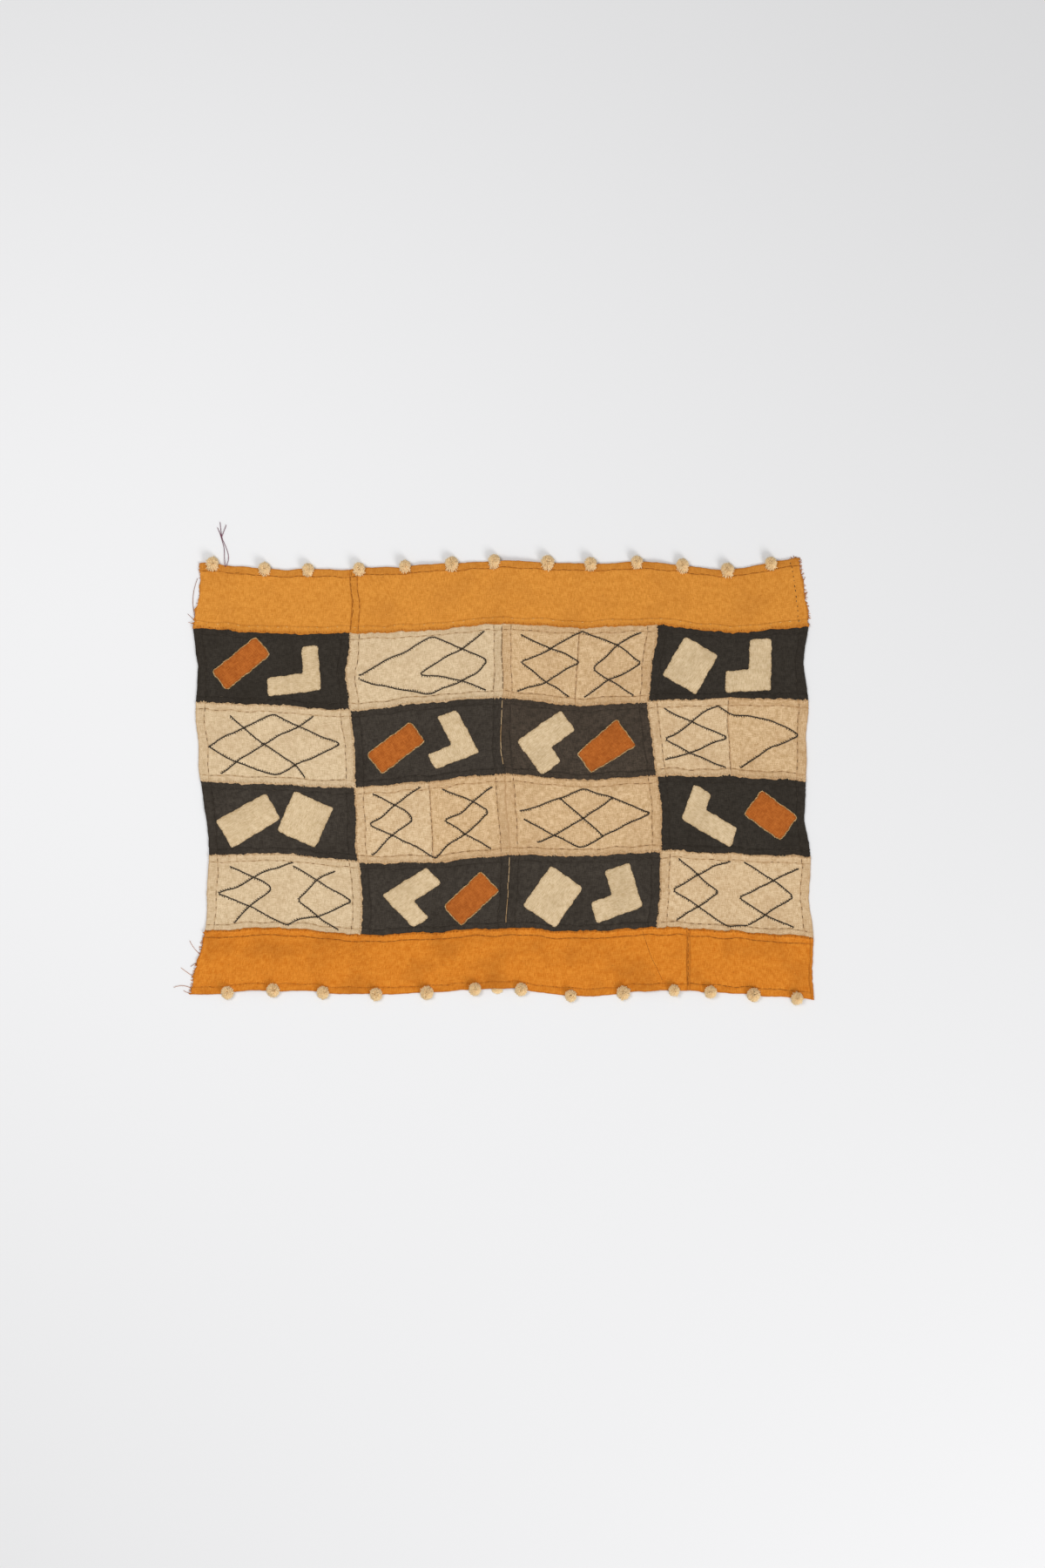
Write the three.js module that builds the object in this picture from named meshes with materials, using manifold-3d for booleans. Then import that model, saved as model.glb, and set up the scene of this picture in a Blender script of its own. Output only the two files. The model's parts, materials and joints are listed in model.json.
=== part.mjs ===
// Patchwork raffia cloth with applique, lying flat and face up on a floor.
//
// Sixteen hemmed panels of woven raffia, straw and charcoal, are sewn edge to edge in four strips.
// An ochre band runs along the upper and lower edge, each pieced from two lengths. Every band ends in
// a turned edge strip that carries a row of raffia pompoms, and its raw ends fray. Bars and elbows cut
// from straw and rust raffia are sewn on the charcoal panels.
//
// Units are millimetres. X runs along the bands, Y towards the upper band and Z up from the floor.
// Places in the tables are measured from the middle of the patchwork.

import * as THREE from "three";
import { mergeVertices } from "three/addons/utils/BufferGeometryUtils.js";
import Module from "manifold-3d";

const wasm = await Module();
wasm.setup();
const radians = THREE.MathUtils.degToRad;

// Cloth sizes
const clothThickness = 1.2;
const pieceGap = 0.4;
const panelWidth = 228;
const panelHeight = 114;
const sideHem = 13;
const levelHem = 9;
const hemRise = 0.6;
const hemStep = 1.2;

// The bands and the strip that is turned over at their outer edge
const bandHeight = 95;
const edgeStrip = 15;

// The fold down the middle, left from when the cloth was stored folded in half
const foldRise = 3;
const foldReach = 12.5;

// Pompoms
const pompomRadius = 11;
const pompomLocks = 5;
const pompomCoreRadius = 5;
const pompomBase = 1;
const pompomShoulder = 7;
const pompomCrown = 10.5;
const pompomOverhang = 1;
const pompomTurn = radians(138);
const pompomSmallest = 0.94;
const pompomSizeSpread = 0.1;
const lockTaper = 0.9;
const lockDroop = 0.7;
const lockSpread = 0.5;

// Applique
const patchThickness = 1.1;
const patchGap = 0.3;
const patchCorner = 4;
const patchBevel = 1.2;
const patchBevelDrop = 0.5;

// Loose thread ends at the raw edges
const threadWidth = 1.1;
const threadHeight = 1;
const threadRoot = 2.5;

// Height of each level seam at nine stations: the five upright seams and the middle of each column.
// Columns: left end, column 1, seam 1-2, column 2, seam 2-3, column 3, seam 3-4, column 4, right end.
const levelSeams = [
  { seam: "upper edge", heights: [317, 312, 312, 318, 324, 320, 322, 311, 330] },
  { seam: "under the upper band", heights: [225, 217, 217, 221, 231, 225, 229, 218, 228] },
  { seam: "row 1 to row 2", heights: [112, 108, 101, 113, 120, 109, 114, 118, 116] },
  { seam: "row 2 to row 3", heights: [-5, -9, -14, -6, 5, -4, 3, 3, -4] },
  { seam: "row 3 to row 4", heights: [-116, -114, -125, -125, -114, -116, -109, -114, -118] },
  { seam: "over the lower band", heights: [-229, -225, -235, -231, -225, -230, -224, -230, -239] },
  { seam: "lower edge", heights: [-320, -315, -321, -318, -312, -324, -315, -320, -329] },
];

// Place of each upright seam at thirteen stations: the seven level seams and the middle of each row.
// Columns: upper edge, band, seam, row 1, seam, row 2, seam, row 3, seam, row 4, seam, band, lower edge.
const uprightSeams = [
  { seam: "left end", places: [-454, -454, -463, -455, -459, -456, -452, -442, -439, -441, -445, -458, -467] },
  { seam: "1 to 2", places: [-230, -226, -228, -234, -229, -222, -221, -220, -217, -211, -213, -213, -213] },
  { seam: "2 to 3", places: [-1, -1, -1, -1, -1, -4, 1, 6, 10, 8, 4, 4, 4] },
  { seam: "3 to 4", places: [226, 226, 229, 222, 216, 222, 230, 235, 235, 234, 230, 230, 230] },
  { seam: "right end", places: [441, 449, 455, 447, 454, 452, 451, 450, 458, 456, 462, 460, 464] },
];

// Colour of each panel, row by row. A panel that the maker pieced from two scraps has two letters.
// s straw, r rosy straw, p pale straw, c charcoal
const panelRows = [
  ["c", "p", "rr", "c"],
  ["s", "c", "c", "ss"],
  ["c", "sr", "r", "c"],
  ["s", "c", "c", "s"],
];

// Low swells along the bands' outer edges, between the pompoms
const edgeSwells = [
  { edge: "upper", along: -112, halfWidth: 34, rise: 3 },
  { edge: "upper", along: 26, halfWidth: 38, rise: 4 },
  { edge: "upper", along: 233, halfWidth: 33, rise: 3 },
  { edge: "lower", along: -377, halfWidth: 33, rise: 4 },
  { edge: "lower", along: -306, halfWidth: 36, rise: 2 },
  { edge: "lower", along: -8, halfWidth: 34, rise: 5 },
  { edge: "lower", along: 217, halfWidth: 37, rise: 4 },
  { edge: "lower", along: 281, halfWidth: 27, rise: 3 },
];

// Where each pompom is sewn, along the upper and the lower edge
const pompomPlaces = {
  upper: [-433, -356, -291, -215, -147, -77, -13, 66, 130, 199, 267, 334, 399],
  lower: [-411, -343, -269, -190, -114, -42, 27, 101, 179, 254, 309, 373, 438],
};

// Straight-sided patches: the middle, the length along the tilt, and the width at either end.
// A patch that laps a panel's hem lies on top of it.
const bars = [
  { name: "bar_r1_c1", dye: "rust", x: -391, y: 171, long: 84, near: 35, far: 35, tilt: 39, onHem: true },
  { name: "square_r1_c4", dye: "straw", x: 279, y: 168, long: 67, near: 58, far: 57, tilt: 60, onHem: true },
  { name: "bar_r2_c2", dye: "rust", x: -160, y: 45, long: 81, near: 38, far: 36, tilt: 37, onHem: false },
  { name: "bar_r2_c3", dye: "rust", x: 152, y: 45, long: 78, near: 36, far: 49, tilt: 36, onHem: false },
  { name: "bar_r3_c1", dye: "straw", x: -380, y: -63, long: 85, near: 48, far: 44, tilt: 30, onHem: true },
  { name: "square_r3_c1", dye: "straw", x: -296, y: -62, long: 65, near: 62, far: 64, tilt: 66, onHem: true },
  { name: "bar_r3_c4", dye: "rust", x: 399, y: -56, long: 67, near: 45, far: 44, tilt: -36, onHem: true },
  { name: "bar_r4_c2", dye: "rust", x: -48, y: -180, long: 77, near: 39, far: 40, tilt: 43, onHem: true },
  { name: "square_r4_c3", dye: "straw", x: 74, y: -177, long: 73, near: 59, far: 58, tilt: 55, onHem: true },
];

// Elbow patches: the outer corner, then each arm's direction, length and width
const elbows = [
  { name: "elbow_r1_c1", x: -272, y: 131, turnA: 94, longA: 67, wideA: 25, turnB: 187, longB: 79, wideB: 28 },
  { name: "elbow_r1_c4", x: 399, y: 131, turnA: 89, longA: 77, wideA: 33, turnB: 183, longB: 68, wideB: 32 },
  { name: "elbow_r2_c2", x: -36, y: 38, turnA: 118, longA: 72, wideA: 31, turnB: 201, longB: 70, wideB: 25 },
  { name: "elbow_r2_c3", x: 20, y: 55, turnA: 35, longA: 80, wideA: 37, turnB: -54, longB: 63, wideB: 36 },
  { name: "elbow_r3_c4", x: 266, y: -62, turnA: 71, longA: 56, wideA: 30, turnB: -30, longB: 84, wideB: 31 },
  { name: "elbow_r4_c2", x: -181, y: -175, turnA: 32, longA: 78, wideA: 33, turnB: -46, longB: 67, wideB: 28 },
  { name: "elbow_r4_c3", x: 208, y: -192, turnA: 107, longA: 69, wideA: 39, turnB: 200, longB: 73, wideB: 32 },
];

// Thread ends that hang out of a raw edge: the share of the edge from its upper end, the length,
// the direction of the root and how far the tip has turned from it.
const looseThreads = {
  upper_left: [
    { at: 0.93, length: 15, heading: 128, turn: 10 },
    { at: 0.9, length: 62, heading: 112, turn: -42 },
    { at: 0.97, length: 9, heading: 150, turn: 15 },
  ],
  upper_right: [
    { at: 0.1, length: 7, heading: 40, turn: 20 },
    { at: 0.28, length: 14, heading: 62, turn: 35 },
    { at: 0.36, length: 8, heading: 20, turn: 50 },
    { at: 0.55, length: 5, heading: 25, turn: 0 },
  ],
  lower_left: [
    { at: 0.38, length: 26, heading: 146, turn: -30 },
    { at: 0.47, length: 13, heading: 196, turn: 25 },
    { at: 0.74, length: 23, heading: 150, turn: -8 },
    { at: 0.93, length: 28, heading: 138, turn: 62 },
    { at: 0.985, length: 12, heading: 190, turn: -45 },
  ],
};
const shortThreads = { upper_left: 0, upper_right: 9, lower_left: 12 };
const shortThreadLength = 4;
const shortThreadTurn = radians(138);
const shortThreadSpread = 14;

// The doubled sewing thread left at the upper left corner, and its split end
const sewingThread = { along: -415, heading: 84, ends: [{ length: 46, turn: 24 }, { length: 61, turn: 12 }] };
const sewingThreadTips = [{ length: 13, heading: 60 }, { length: 11, heading: 124 }];

// Colours
const colours = {
  s: 0xd3b68c,
  r: 0xcfaa7c,
  p: 0xd9c3a0,
  c: 0x3a342d,
  ochre: 0xd38430,
  rust: 0xac5c20,
  straw: 0xd6c091,
};

const material = (hex) => new THREE.MeshStandardMaterial({ color: hex, roughness: 0.9, metalness: 0 });

// The seam lines as smooth curves through their stations

const middle = (a, b) => (a + b) / 2;

const levelCurves = levelSeams.map(({ heights }, level) => {
  const seamPlaces = uprightSeams.map(({ places }) => places[2 * level]);
  const places = heights.map((_, k) =>
    k % 2 ? middle(seamPlaces[(k - 1) / 2], seamPlaces[(k + 1) / 2]) : seamPlaces[k / 2],
  );
  return new THREE.SplineCurve(heights.map((height, k) => new THREE.Vector2(places[k], height)));
});

const uprightCurves = uprightSeams.map(({ places }, upright) => {
  const seamHeights = levelSeams.map(({ heights }) => heights[2 * upright]);
  const heights = places.map((_, k) =>
    k % 2 ? middle(seamHeights[(k - 1) / 2], seamHeights[(k + 1) / 2]) : seamHeights[k / 2],
  );
  return new THREE.SplineCurve(places.map((place, k) => new THREE.Vector2(place, heights[k])));
});

const columns = uprightSeams.length - 1;
const rows = levelSeams.length - 1;
const lowerBandRow = rows - 1;

// A point of the cloth seen from above: its row, its share of the whole width, its share down the row.
// The four curves round one cell are blended so that neighbours share their seam exactly.
function clothPoint(row, across, down) {
  const column = Math.min(columns - 1, Math.floor(across * columns + 1e-9));
  const u = across * columns - column;
  const upper = levelCurves[row];
  const lower = levelCurves[row + 1];
  const alongSeam = (curve, share) => curve.getPoint((column + share) / columns);
  const downSeam = (upright) => uprightCurves[column + upright].getPoint((row + down) / rows);
  const blend = (axis) =>
    (1 - down) * alongSeam(upper, u)[axis] + down * alongSeam(lower, u)[axis] +
    (1 - u) * downSeam(0)[axis] + u * downSeam(1)[axis] -
    (1 - down) * ((1 - u) * alongSeam(upper, 0)[axis] + u * alongSeam(upper, 1)[axis]) -
    down * ((1 - u) * alongSeam(lower, 0)[axis] + u * alongSeam(lower, 1)[axis]);
  return new THREE.Vector2(blend("x"), blend("y"));
}

// How high the cloth's underside stands off the floor
function clothLift(row, across, down) {
  const point = clothPoint(row, across, down);
  const foldLine = clothPoint(row, 0.5, down);
  const fold = foldRise * Math.max(0, 1 - Math.abs(point.x - foldLine.x) / foldReach);
  const edge = { 0: "upper", [lowerBandRow]: "lower" }[row];
  const nearEdge = Math.max(0, 1 - 2 * (edge === "upper" ? down : 1 - down));
  const swell = edgeSwells
    .filter((one) => one.edge === edge && Math.abs(point.x - one.along) < one.halfWidth)
    .reduce((sum, one) => {
      const share = (point.x - one.along) / one.halfWidth;
      return sum + one.rise * Math.cos((share * Math.PI) / 2) ** 2;
    }, 0);
  return Math.max(fold, swell * nearEdge);
}

// Stations across one column and down one row, closer at the hems

const hemShare = sideHem / panelWidth;
const hemStepShare = (sideHem + hemStep) / panelWidth;
const scrapSeam = 0.5;
const lowerBandSeam = 0.19;
const columnStations = [
  0, hemShare, hemStepShare, lowerBandSeam, 0.3, 0.4, scrapSeam,
  0.6, 0.7, 1 - lowerBandSeam, 1 - hemStepShare, 1 - hemShare, 1,
];
const widthStations = [...Array(columns).keys()]
  .flatMap((column) => columnStations.slice(column ? 1 : 0).map((share) => (column + share) / columns));
const stationsBetween = (from, to) => widthStations.filter((t) => t > from - 1e-9 && t < to + 1e-9);

const levelHemShare = levelHem / panelHeight;
const levelHemStepShare = (levelHem + hemStep) / panelHeight;
const panelDownStations = [
  0, levelHemShare, levelHemStepShare, 0.5, 1 - levelHemStepShare, 1 - levelHemShare, 1,
];
const stripShare = edgeStrip / bandHeight;
const bandHemShare = levelHem / bandHeight;
const bandHemStepShare = (levelHem + hemStep) / bandHeight;
const upperBandStations = [stripShare, 0.5, 1 - bandHemStepShare, 1 - bandHemShare, 1];
const lowerBandStations = upperBandStations.map((share) => 1 - share).reverse();
const upperStripStations = [0, stripShare];
const lowerStripStations = [1 - stripShare, 1];

// A closed sheet between two matching grids of points, its upper face and its underside
function closedSheet(upper, under) {
  const across = upper.length;
  const down = upper[0].length;
  const positions = [...upper.flat(), ...under.flat()].flatMap((point) => point.toArray());
  const top = (i, j) => i * down + j;
  const low = (i, j) => across * down + top(i, j);
  const index = [];
  const quad = (a, b, c, d) => index.push(a, b, c, a, c, d);
  for (let i = 0; i + 1 < across; i++) {
    for (let j = 0; j + 1 < down; j++) {
      quad(top(i, j), top(i, j + 1), top(i + 1, j + 1), top(i + 1, j));
      quad(low(i, j), low(i + 1, j), low(i + 1, j + 1), low(i, j + 1));
    }
  }
  for (let j = 0; j + 1 < down; j++) {
    const last = across - 1;
    quad(top(0, j), low(0, j), low(0, j + 1), top(0, j + 1));
    quad(top(last, j + 1), low(last, j + 1), low(last, j), top(last, j));
  }
  for (let i = 0; i + 1 < across; i++) {
    const last = down - 1;
    quad(top(i + 1, 0), low(i + 1, 0), low(i, 0), top(i, 0));
    quad(top(i, last), low(i, last), low(i + 1, last), top(i + 1, last));
  }
  const geometry = new THREE.BufferGeometry();
  geometry.setAttribute("position", new THREE.Float32BufferAttribute(positions, 3));
  geometry.setIndex(index);
  geometry.computeVertexNormals();
  return geometry;
}

// One cut piece of the cloth: a row, a stretch of the width, its stations down the row and its hemmed sides
function clothPiece(row, from, to, downStations, hems) {
  const acrossStations = stationsBetween(from, to);
  const upEnd = downStations[0];
  const lowEnd = downStations.at(-1);
  const rowHem = row === 0 || row === lowerBandRow ? bandHemShare : levelHemShare;
  const within = (distance, hem) => distance < hem + 1e-6;
  const raised = (across, down) =>
    (hems.left && within((across - from) * columns, hemShare)) ||
    (hems.right && within((to - across) * columns, hemShare)) ||
    (hems.upper && within(down - upEnd, rowHem)) ||
    (hems.lower && within(lowEnd - down, rowHem));
  const inset = (value, low, high) => (value === low ? pieceGap / 2 : value === high ? -pieceGap / 2 : 0);
  const firstAcross = acrossStations[0];
  const lastAcross = acrossStations.at(-1);
  const grid = (height) =>
    acrossStations.map((across) =>
      downStations.map((down) => {
        const point = clothPoint(row, across, down);
        return new THREE.Vector3(
          point.x + inset(across, firstAcross, lastAcross),
          point.y - inset(down, upEnd, lowEnd),
          clothLift(row, across, down) + height(across, down),
        );
      }),
    );
  const upperFace = grid((across, down) => clothThickness + (raised(across, down) ? hemRise : 0));
  return closedSheet(upperFace, grid(() => 0));
}

// Joining solids

function solid(geometry) {
  const bare = geometry.clone();
  bare.deleteAttribute("normal");
  bare.deleteAttribute("uv");
  const merged = mergeVertices(bare, 1e-4);
  return new wasm.Manifold(
    new wasm.Mesh({
      numProp: 3,
      vertProperties: merged.attributes.position.array,
      triVerts: new Uint32Array(merged.index.array),
    }),
  );
}

function fused(geometries) {
  const joined = geometries.map(solid).reduce((whole, next) => whole.add(next)).getMesh();
  const geometry = new THREE.BufferGeometry();
  geometry.setAttribute("position", new THREE.BufferAttribute(joined.vertProperties, 3));
  geometry.setIndex(new THREE.BufferAttribute(joined.triVerts, 1));
  geometry.computeVertexNormals();
  return geometry;
}

// Pompoms: a five-sided tied core, with a lock of raffia drawn out of each of its faces

function pompom(x, y, turn, size) {
  const ring = (height, tilt = 0) =>
    [...Array(pompomLocks).keys()].map((k) => {
      const angle = turn + ((k + tilt) / pompomLocks) * 2 * Math.PI;
      const reach = pompomCoreRadius * size;
      return new THREE.Vector3(x + reach * Math.cos(angle), y + reach * Math.sin(angle), height);
    });
  const low = ring(pompomBase);
  const high = ring(pompomShoulder * size);
  const crown = new THREE.Vector3(x, y, pompomCrown * size);
  const corners = [];
  const face = (...points) => {
    for (let k = 1; k + 1 < points.length; k++) corners.push(points[0], points[k], points[k + 1]);
  };
  const lock = (root, reach, droop) => {
    const heart = root.reduce((sum, p) => sum.add(p), new THREE.Vector3()).divideScalar(root.length);
    const outward = new THREE.Triangle(root[0], root[1], root[2]).getNormal(new THREE.Vector3());
    const tip = root.map((p) => {
      const end = heart.clone().lerp(p, lockTaper).addScaledVector(outward, reach);
      end.z -= droop;
      return end;
    });
    root.forEach((p, k) => {
      const next = (k + 1) % root.length;
      face(p, root[next], tip[next], tip[k]);
    });
    face(...tip);
  };
  const lockReach = pompomRadius - pompomCoreRadius;
  low.forEach((_, k) => {
    const next = (k + 1) % pompomLocks;
    lock([low[k], low[next], high[next], high[k]], (lockReach + (k % 3) * lockSpread) * size, lockDroop);
    lock([high[k], high[next], crown], (lockReach - (1 + 2 * (k % 2)) * lockSpread) * size, 0);
  });
  face(...low.toReversed());
  const geometry = new THREE.BufferGeometry().setFromPoints(corners);
  return mergeVertices(geometry, 1e-4);
}

// Thread ends that lie on the floor: a flat prism along a path that bends evenly

function threadPath(x, y, heading, turn, length) {
  const steps = length > 2 * shortThreadLength ? 4 : 1;
  const path = [new THREE.Vector2(x, y)];
  for (let k = 0; k < steps; k++) {
    const angle = radians(heading + (turn * (k + 0.5)) / steps);
    const step = new THREE.Vector2(Math.cos(angle), Math.sin(angle)).multiplyScalar(length / steps);
    path.push(path.at(-1).clone().add(step));
  }
  return path;
}

function threadSolid(path) {
  const side = (sign) =>
    path.map((point, k) => {
      const before = path[Math.max(0, k - 1)];
      const after = path[Math.min(path.length - 1, k + 1)];
      const along = after.clone().sub(before).normalize();
      return point.clone().add(new THREE.Vector2(-along.y, along.x).multiplyScalar((sign * threadWidth) / 2));
    });
  const outline = new THREE.Shape([...side(-1), ...side(1).reverse()]);
  return new THREE.ExtrudeGeometry(outline, { depth: threadHeight, bevelEnabled: false });
}

// The frayed thread ends of a band's raw end, rooted in the strip of cloth that they come out of
function frayThreads(place, row, across, outward, downStations) {
  const start = downStations[0];
  const reach = downStations.at(-1) - start;
  const root = (at) => {
    const point = clothPoint(row, across, start + reach * at);
    return new THREE.Vector2(point.x - outward * threadRoot, point.y);
  };
  const short = [...Array(shortThreads[place]).keys()].map((k) => ({
    at: (k + 0.6) / shortThreads[place],
    length: shortThreadLength * (1 - 0.4 * Math.sin(k * shortThreadTurn) ** 2),
    heading: (outward < 0 ? 180 : 0) + shortThreadSpread * Math.sin(2 * k * shortThreadTurn),
    turn: 0,
  }));
  return [...looseThreads[place], ...short].map(({ at, length, heading, turn }) => {
    const from = root(at);
    return threadSolid(threadPath(from.x, from.y, heading, turn, length + threadRoot));
  });
}

// Applique: an outline with small round corners, its upper rim eased down to the cloth

function roundedOutline(corners) {
  const outline = new THREE.Path();
  corners.forEach((corner, k) => {
    const before = corners.at(k - 1);
    const after = corners[(k + 1) % corners.length];
    const toward = (other) => corner.clone().add(other.clone().sub(corner).setLength(patchCorner));
    const entry = toward(before);
    const exit = toward(after);
    if (k === 0) outline.moveTo(entry.x, entry.y);
    else outline.lineTo(entry.x, entry.y);
    outline.quadraticCurveTo(corner.x, corner.y, exit.x, exit.y);
  });
  return outline.getPoints(2);
}

function insetOutline(points, by) {
  return points.map((point, k) => {
    const before = points.at(k - 1);
    const after = points[(k + 1) % points.length];
    const along = after.clone().sub(before).normalize();
    return point.clone().add(new THREE.Vector2(-along.y, along.x).multiplyScalar(by));
  });
}

function patchSolid(corners, base) {
  const outline = roundedOutline(corners);
  const rim = insetOutline(outline, patchBevel);
  const count = outline.length;
  const top = base + patchThickness;
  const layers = [[outline, base], [outline, top - patchBevelDrop], [rim, top]];
  const positions = layers.flatMap(([points, z]) => points.flatMap((p) => [p.x, p.y, z]));
  const index = [];
  for (let layer = 0; layer + 1 < layers.length; layer++) {
    for (let k = 0; k < count; k++) {
      const next = (k + 1) % count;
      const lower = layer * count;
      const upper = lower + count;
      index.push(lower + k, lower + next, upper + next, lower + k, upper + next, upper + k);
    }
  }
  const last = (layers.length - 1) * count;
  THREE.ShapeUtils.triangulateShape(outline, []).forEach(([a, b, c]) => index.push(a, c, b));
  THREE.ShapeUtils.triangulateShape(rim, []).forEach(([a, b, c]) => index.push(last + a, last + b, last + c));
  const geometry = new THREE.BufferGeometry();
  geometry.setAttribute("position", new THREE.Float32BufferAttribute(positions, 3));
  geometry.setIndex(index);
  geometry.computeVertexNormals();
  return geometry;
}

function barCorners({ x, y, long, near, far, tilt }) {
  const along = new THREE.Vector2(1, 0).rotateAround(new THREE.Vector2(), radians(tilt));
  const aside = new THREE.Vector2(-along.y, along.x);
  const corner = (end, side, width) =>
    new THREE.Vector2(x, y)
      .addScaledVector(along, (end * long) / 2)
      .addScaledVector(aside, (side * width) / 2);
  return [corner(-1, -1, near), corner(1, -1, far), corner(1, 1, far), corner(-1, 1, near)];
}

function elbowCorners({ x, y, turnA, longA, wideA, turnB, longB, wideB }) {
  const arm = (turn) => new THREE.Vector2(Math.cos(radians(turn)), Math.sin(radians(turn)));
  const a = arm(turnA);
  const b = arm(turnB);
  const point = (alongA, alongB) =>
    new THREE.Vector2(x, y).addScaledVector(a, alongA).addScaledVector(b, alongB);
  const corners = [
    point(0, 0), point(longA, 0), point(longA, wideA),
    point(wideB, wideA), point(wideB, longB), point(0, longB),
  ];
  return THREE.ShapeUtils.isClockWise(corners) ? corners.reverse() : corners;
}

// The cloth, put together

const cloth = new THREE.Group();
const add = (name, geometry, hex) => {
  const mesh = new THREE.Mesh(geometry, material(hex));
  mesh.name = name;
  cloth.add(mesh);
};

function addPanels() {
  panelRows.forEach((row, r) =>
    row.forEach((scraps, c) => {
      const cuts = scraps.length > 1 ? [0, scrapSeam, 1] : [0, 1];
      [...scraps].forEach((letter, k) => {
        const side = scraps.length > 1 ? ["_left", "_right"][k] : "";
        const hems = { left: cuts[k] === 0, right: cuts[k + 1] === 1, upper: true, lower: true };
        const [from, to] = [cuts[k], cuts[k + 1]].map((share) => (c + share) / columns);
        const piece = clothPiece(r + 1, from, to, panelDownStations, hems);
        add(`panel_r${r + 1}_c${c + 1}${side}`, piece, colours[letter]);
      });
    }),
  );
}

function addBands() {
  const leftFray = hemShare / columns;
  const rightFray = 1 - leftFray;
  const upperJoin = 1 / columns;
  const lowerJoin = (columns - 1 + lowerBandSeam) / columns;
  const band = (name, row, from, to, hems) => {
    const stations = row === 0 ? upperBandStations : lowerBandStations;
    add(name, clothPiece(row, from, to, stations, hems), colours.ochre);
  };
  band("upper_band_left", 0, leftFray, upperJoin, { lower: true });
  band("upper_band_right", 0, upperJoin, rightFray, { lower: true, left: true });
  band("lower_band_left", lowerBandRow, leftFray, lowerJoin, { upper: true });
  band("lower_band_right", lowerBandRow, lowerJoin, 1, { upper: true });

  const frayed = (place, row, from, to, outward) => {
    const stations = row === 0 ? upperBandStations : lowerBandStations;
    const hems = row === 0 ? { lower: true } : { upper: true };
    const strip = clothPiece(row, from, to, stations, hems);
    const threads = frayThreads(place, row, outward < 0 ? from : to, outward, stations);
    add(`${place}_frayed_end`, fused([strip, ...threads]), colours.ochre);
  };
  frayed("upper_left", 0, 0, leftFray, -1);
  frayed("upper_right", 0, rightFray, 1, 1);
  frayed("lower_left", lowerBandRow, 0, leftFray, -1);
}

// The share of the width at which the cloth's edge lies at a given x
function shareAt(row, down, x) {
  let low = 0;
  let high = 1;
  for (let k = 0; k < 40; k++) {
    const half = middle(low, high);
    if (clothPoint(row, half, down).x < x) low = half;
    else high = half;
  }
  return middle(low, high);
}

function pompomRow(edge) {
  const row = edge === "upper" ? 0 : lowerBandRow;
  const down = edge === "upper" ? 0 : 1;
  const outward = edge === "upper" ? 1 : -1;
  return pompomPlaces[edge].map((x, k) => {
    const point = clothPoint(row, shareAt(row, down, x), down);
    const size = pompomSmallest + pompomSizeSpread * Math.sin(k * pompomTurn + outward) ** 2;
    return pompom(x, point.y + outward * pompomOverhang, k * pompomTurn, size);
  });
}

function leftOverSewingThread() {
  const { along, heading, ends } = sewingThread;
  const start = clothPoint(0, shareAt(0, 0, along), 0);
  const plies = ends.map(({ length, turn }, k) => {
    const offset = (k - 0.5) * threadWidth * 2;
    return threadPath(along + offset, start.y - threadRoot, heading, turn, length);
  });
  const fork = plies[1][3];
  const tips = sewingThreadTips.map(({ length, heading: way }) => threadPath(fork.x, fork.y, way, 0, length));
  return [...plies, ...tips].map(threadSolid);
}

function addEdgeStrips() {
  const hems = { upper: true, lower: true };
  const upperStrip = clothPiece(0, 0, 1, upperStripStations, hems);
  const lowerStrip = clothPiece(lowerBandRow, 0, 1, lowerStripStations, hems);
  const upper = fused([upperStrip, ...pompomRow("upper"), ...leftOverSewingThread()]);
  add("upper_edge_with_pompoms", upper, colours.ochre);
  add("lower_edge_with_pompoms", fused([lowerStrip, ...pompomRow("lower")]), colours.ochre);
}

function addApplique() {
  const base = (onHem) => clothThickness + patchGap + (onHem ? hemRise : 0);
  bars.forEach((bar) =>
    add(`patch_${bar.name}`, patchSolid(barCorners(bar), base(bar.onHem)), colours[bar.dye]),
  );
  elbows.forEach((elbow) =>
    add(`patch_${elbow.name}`, patchSolid(elbowCorners(elbow), base(true)), colours.straw),
  );
}

addPanels();
addBands();
addEdgeStrips();
addApplique();

// The origin is under the middle of the whole cloth, on the floor
const part = new THREE.Group();
const centre = new THREE.Box3().setFromObject(cloth).getCenter(new THREE.Vector3());
cloth.position.set(-centre.x, -centre.y, 0);
part.add(cloth);

export default part;
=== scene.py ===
import json
import math

import bmesh
import bpy
import numpy as np
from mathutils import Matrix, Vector, geometry


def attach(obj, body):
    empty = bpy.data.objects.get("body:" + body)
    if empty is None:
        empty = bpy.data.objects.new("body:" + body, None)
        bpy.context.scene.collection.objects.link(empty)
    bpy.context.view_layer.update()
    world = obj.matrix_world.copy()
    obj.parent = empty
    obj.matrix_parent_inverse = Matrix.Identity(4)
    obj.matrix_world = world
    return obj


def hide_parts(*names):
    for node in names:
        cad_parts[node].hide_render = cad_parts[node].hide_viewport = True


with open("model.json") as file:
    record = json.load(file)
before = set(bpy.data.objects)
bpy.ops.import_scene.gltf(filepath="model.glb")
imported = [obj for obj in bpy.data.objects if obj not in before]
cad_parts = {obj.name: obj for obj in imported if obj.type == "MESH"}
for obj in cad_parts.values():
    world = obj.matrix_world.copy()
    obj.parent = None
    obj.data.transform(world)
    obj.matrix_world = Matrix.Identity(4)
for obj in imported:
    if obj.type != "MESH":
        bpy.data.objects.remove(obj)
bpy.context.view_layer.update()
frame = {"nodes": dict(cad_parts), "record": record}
slots = {part["node"]: part["material_slot"] for part in frame["record"]["subparts"]}
chance = np.random.default_rng(11)


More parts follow.
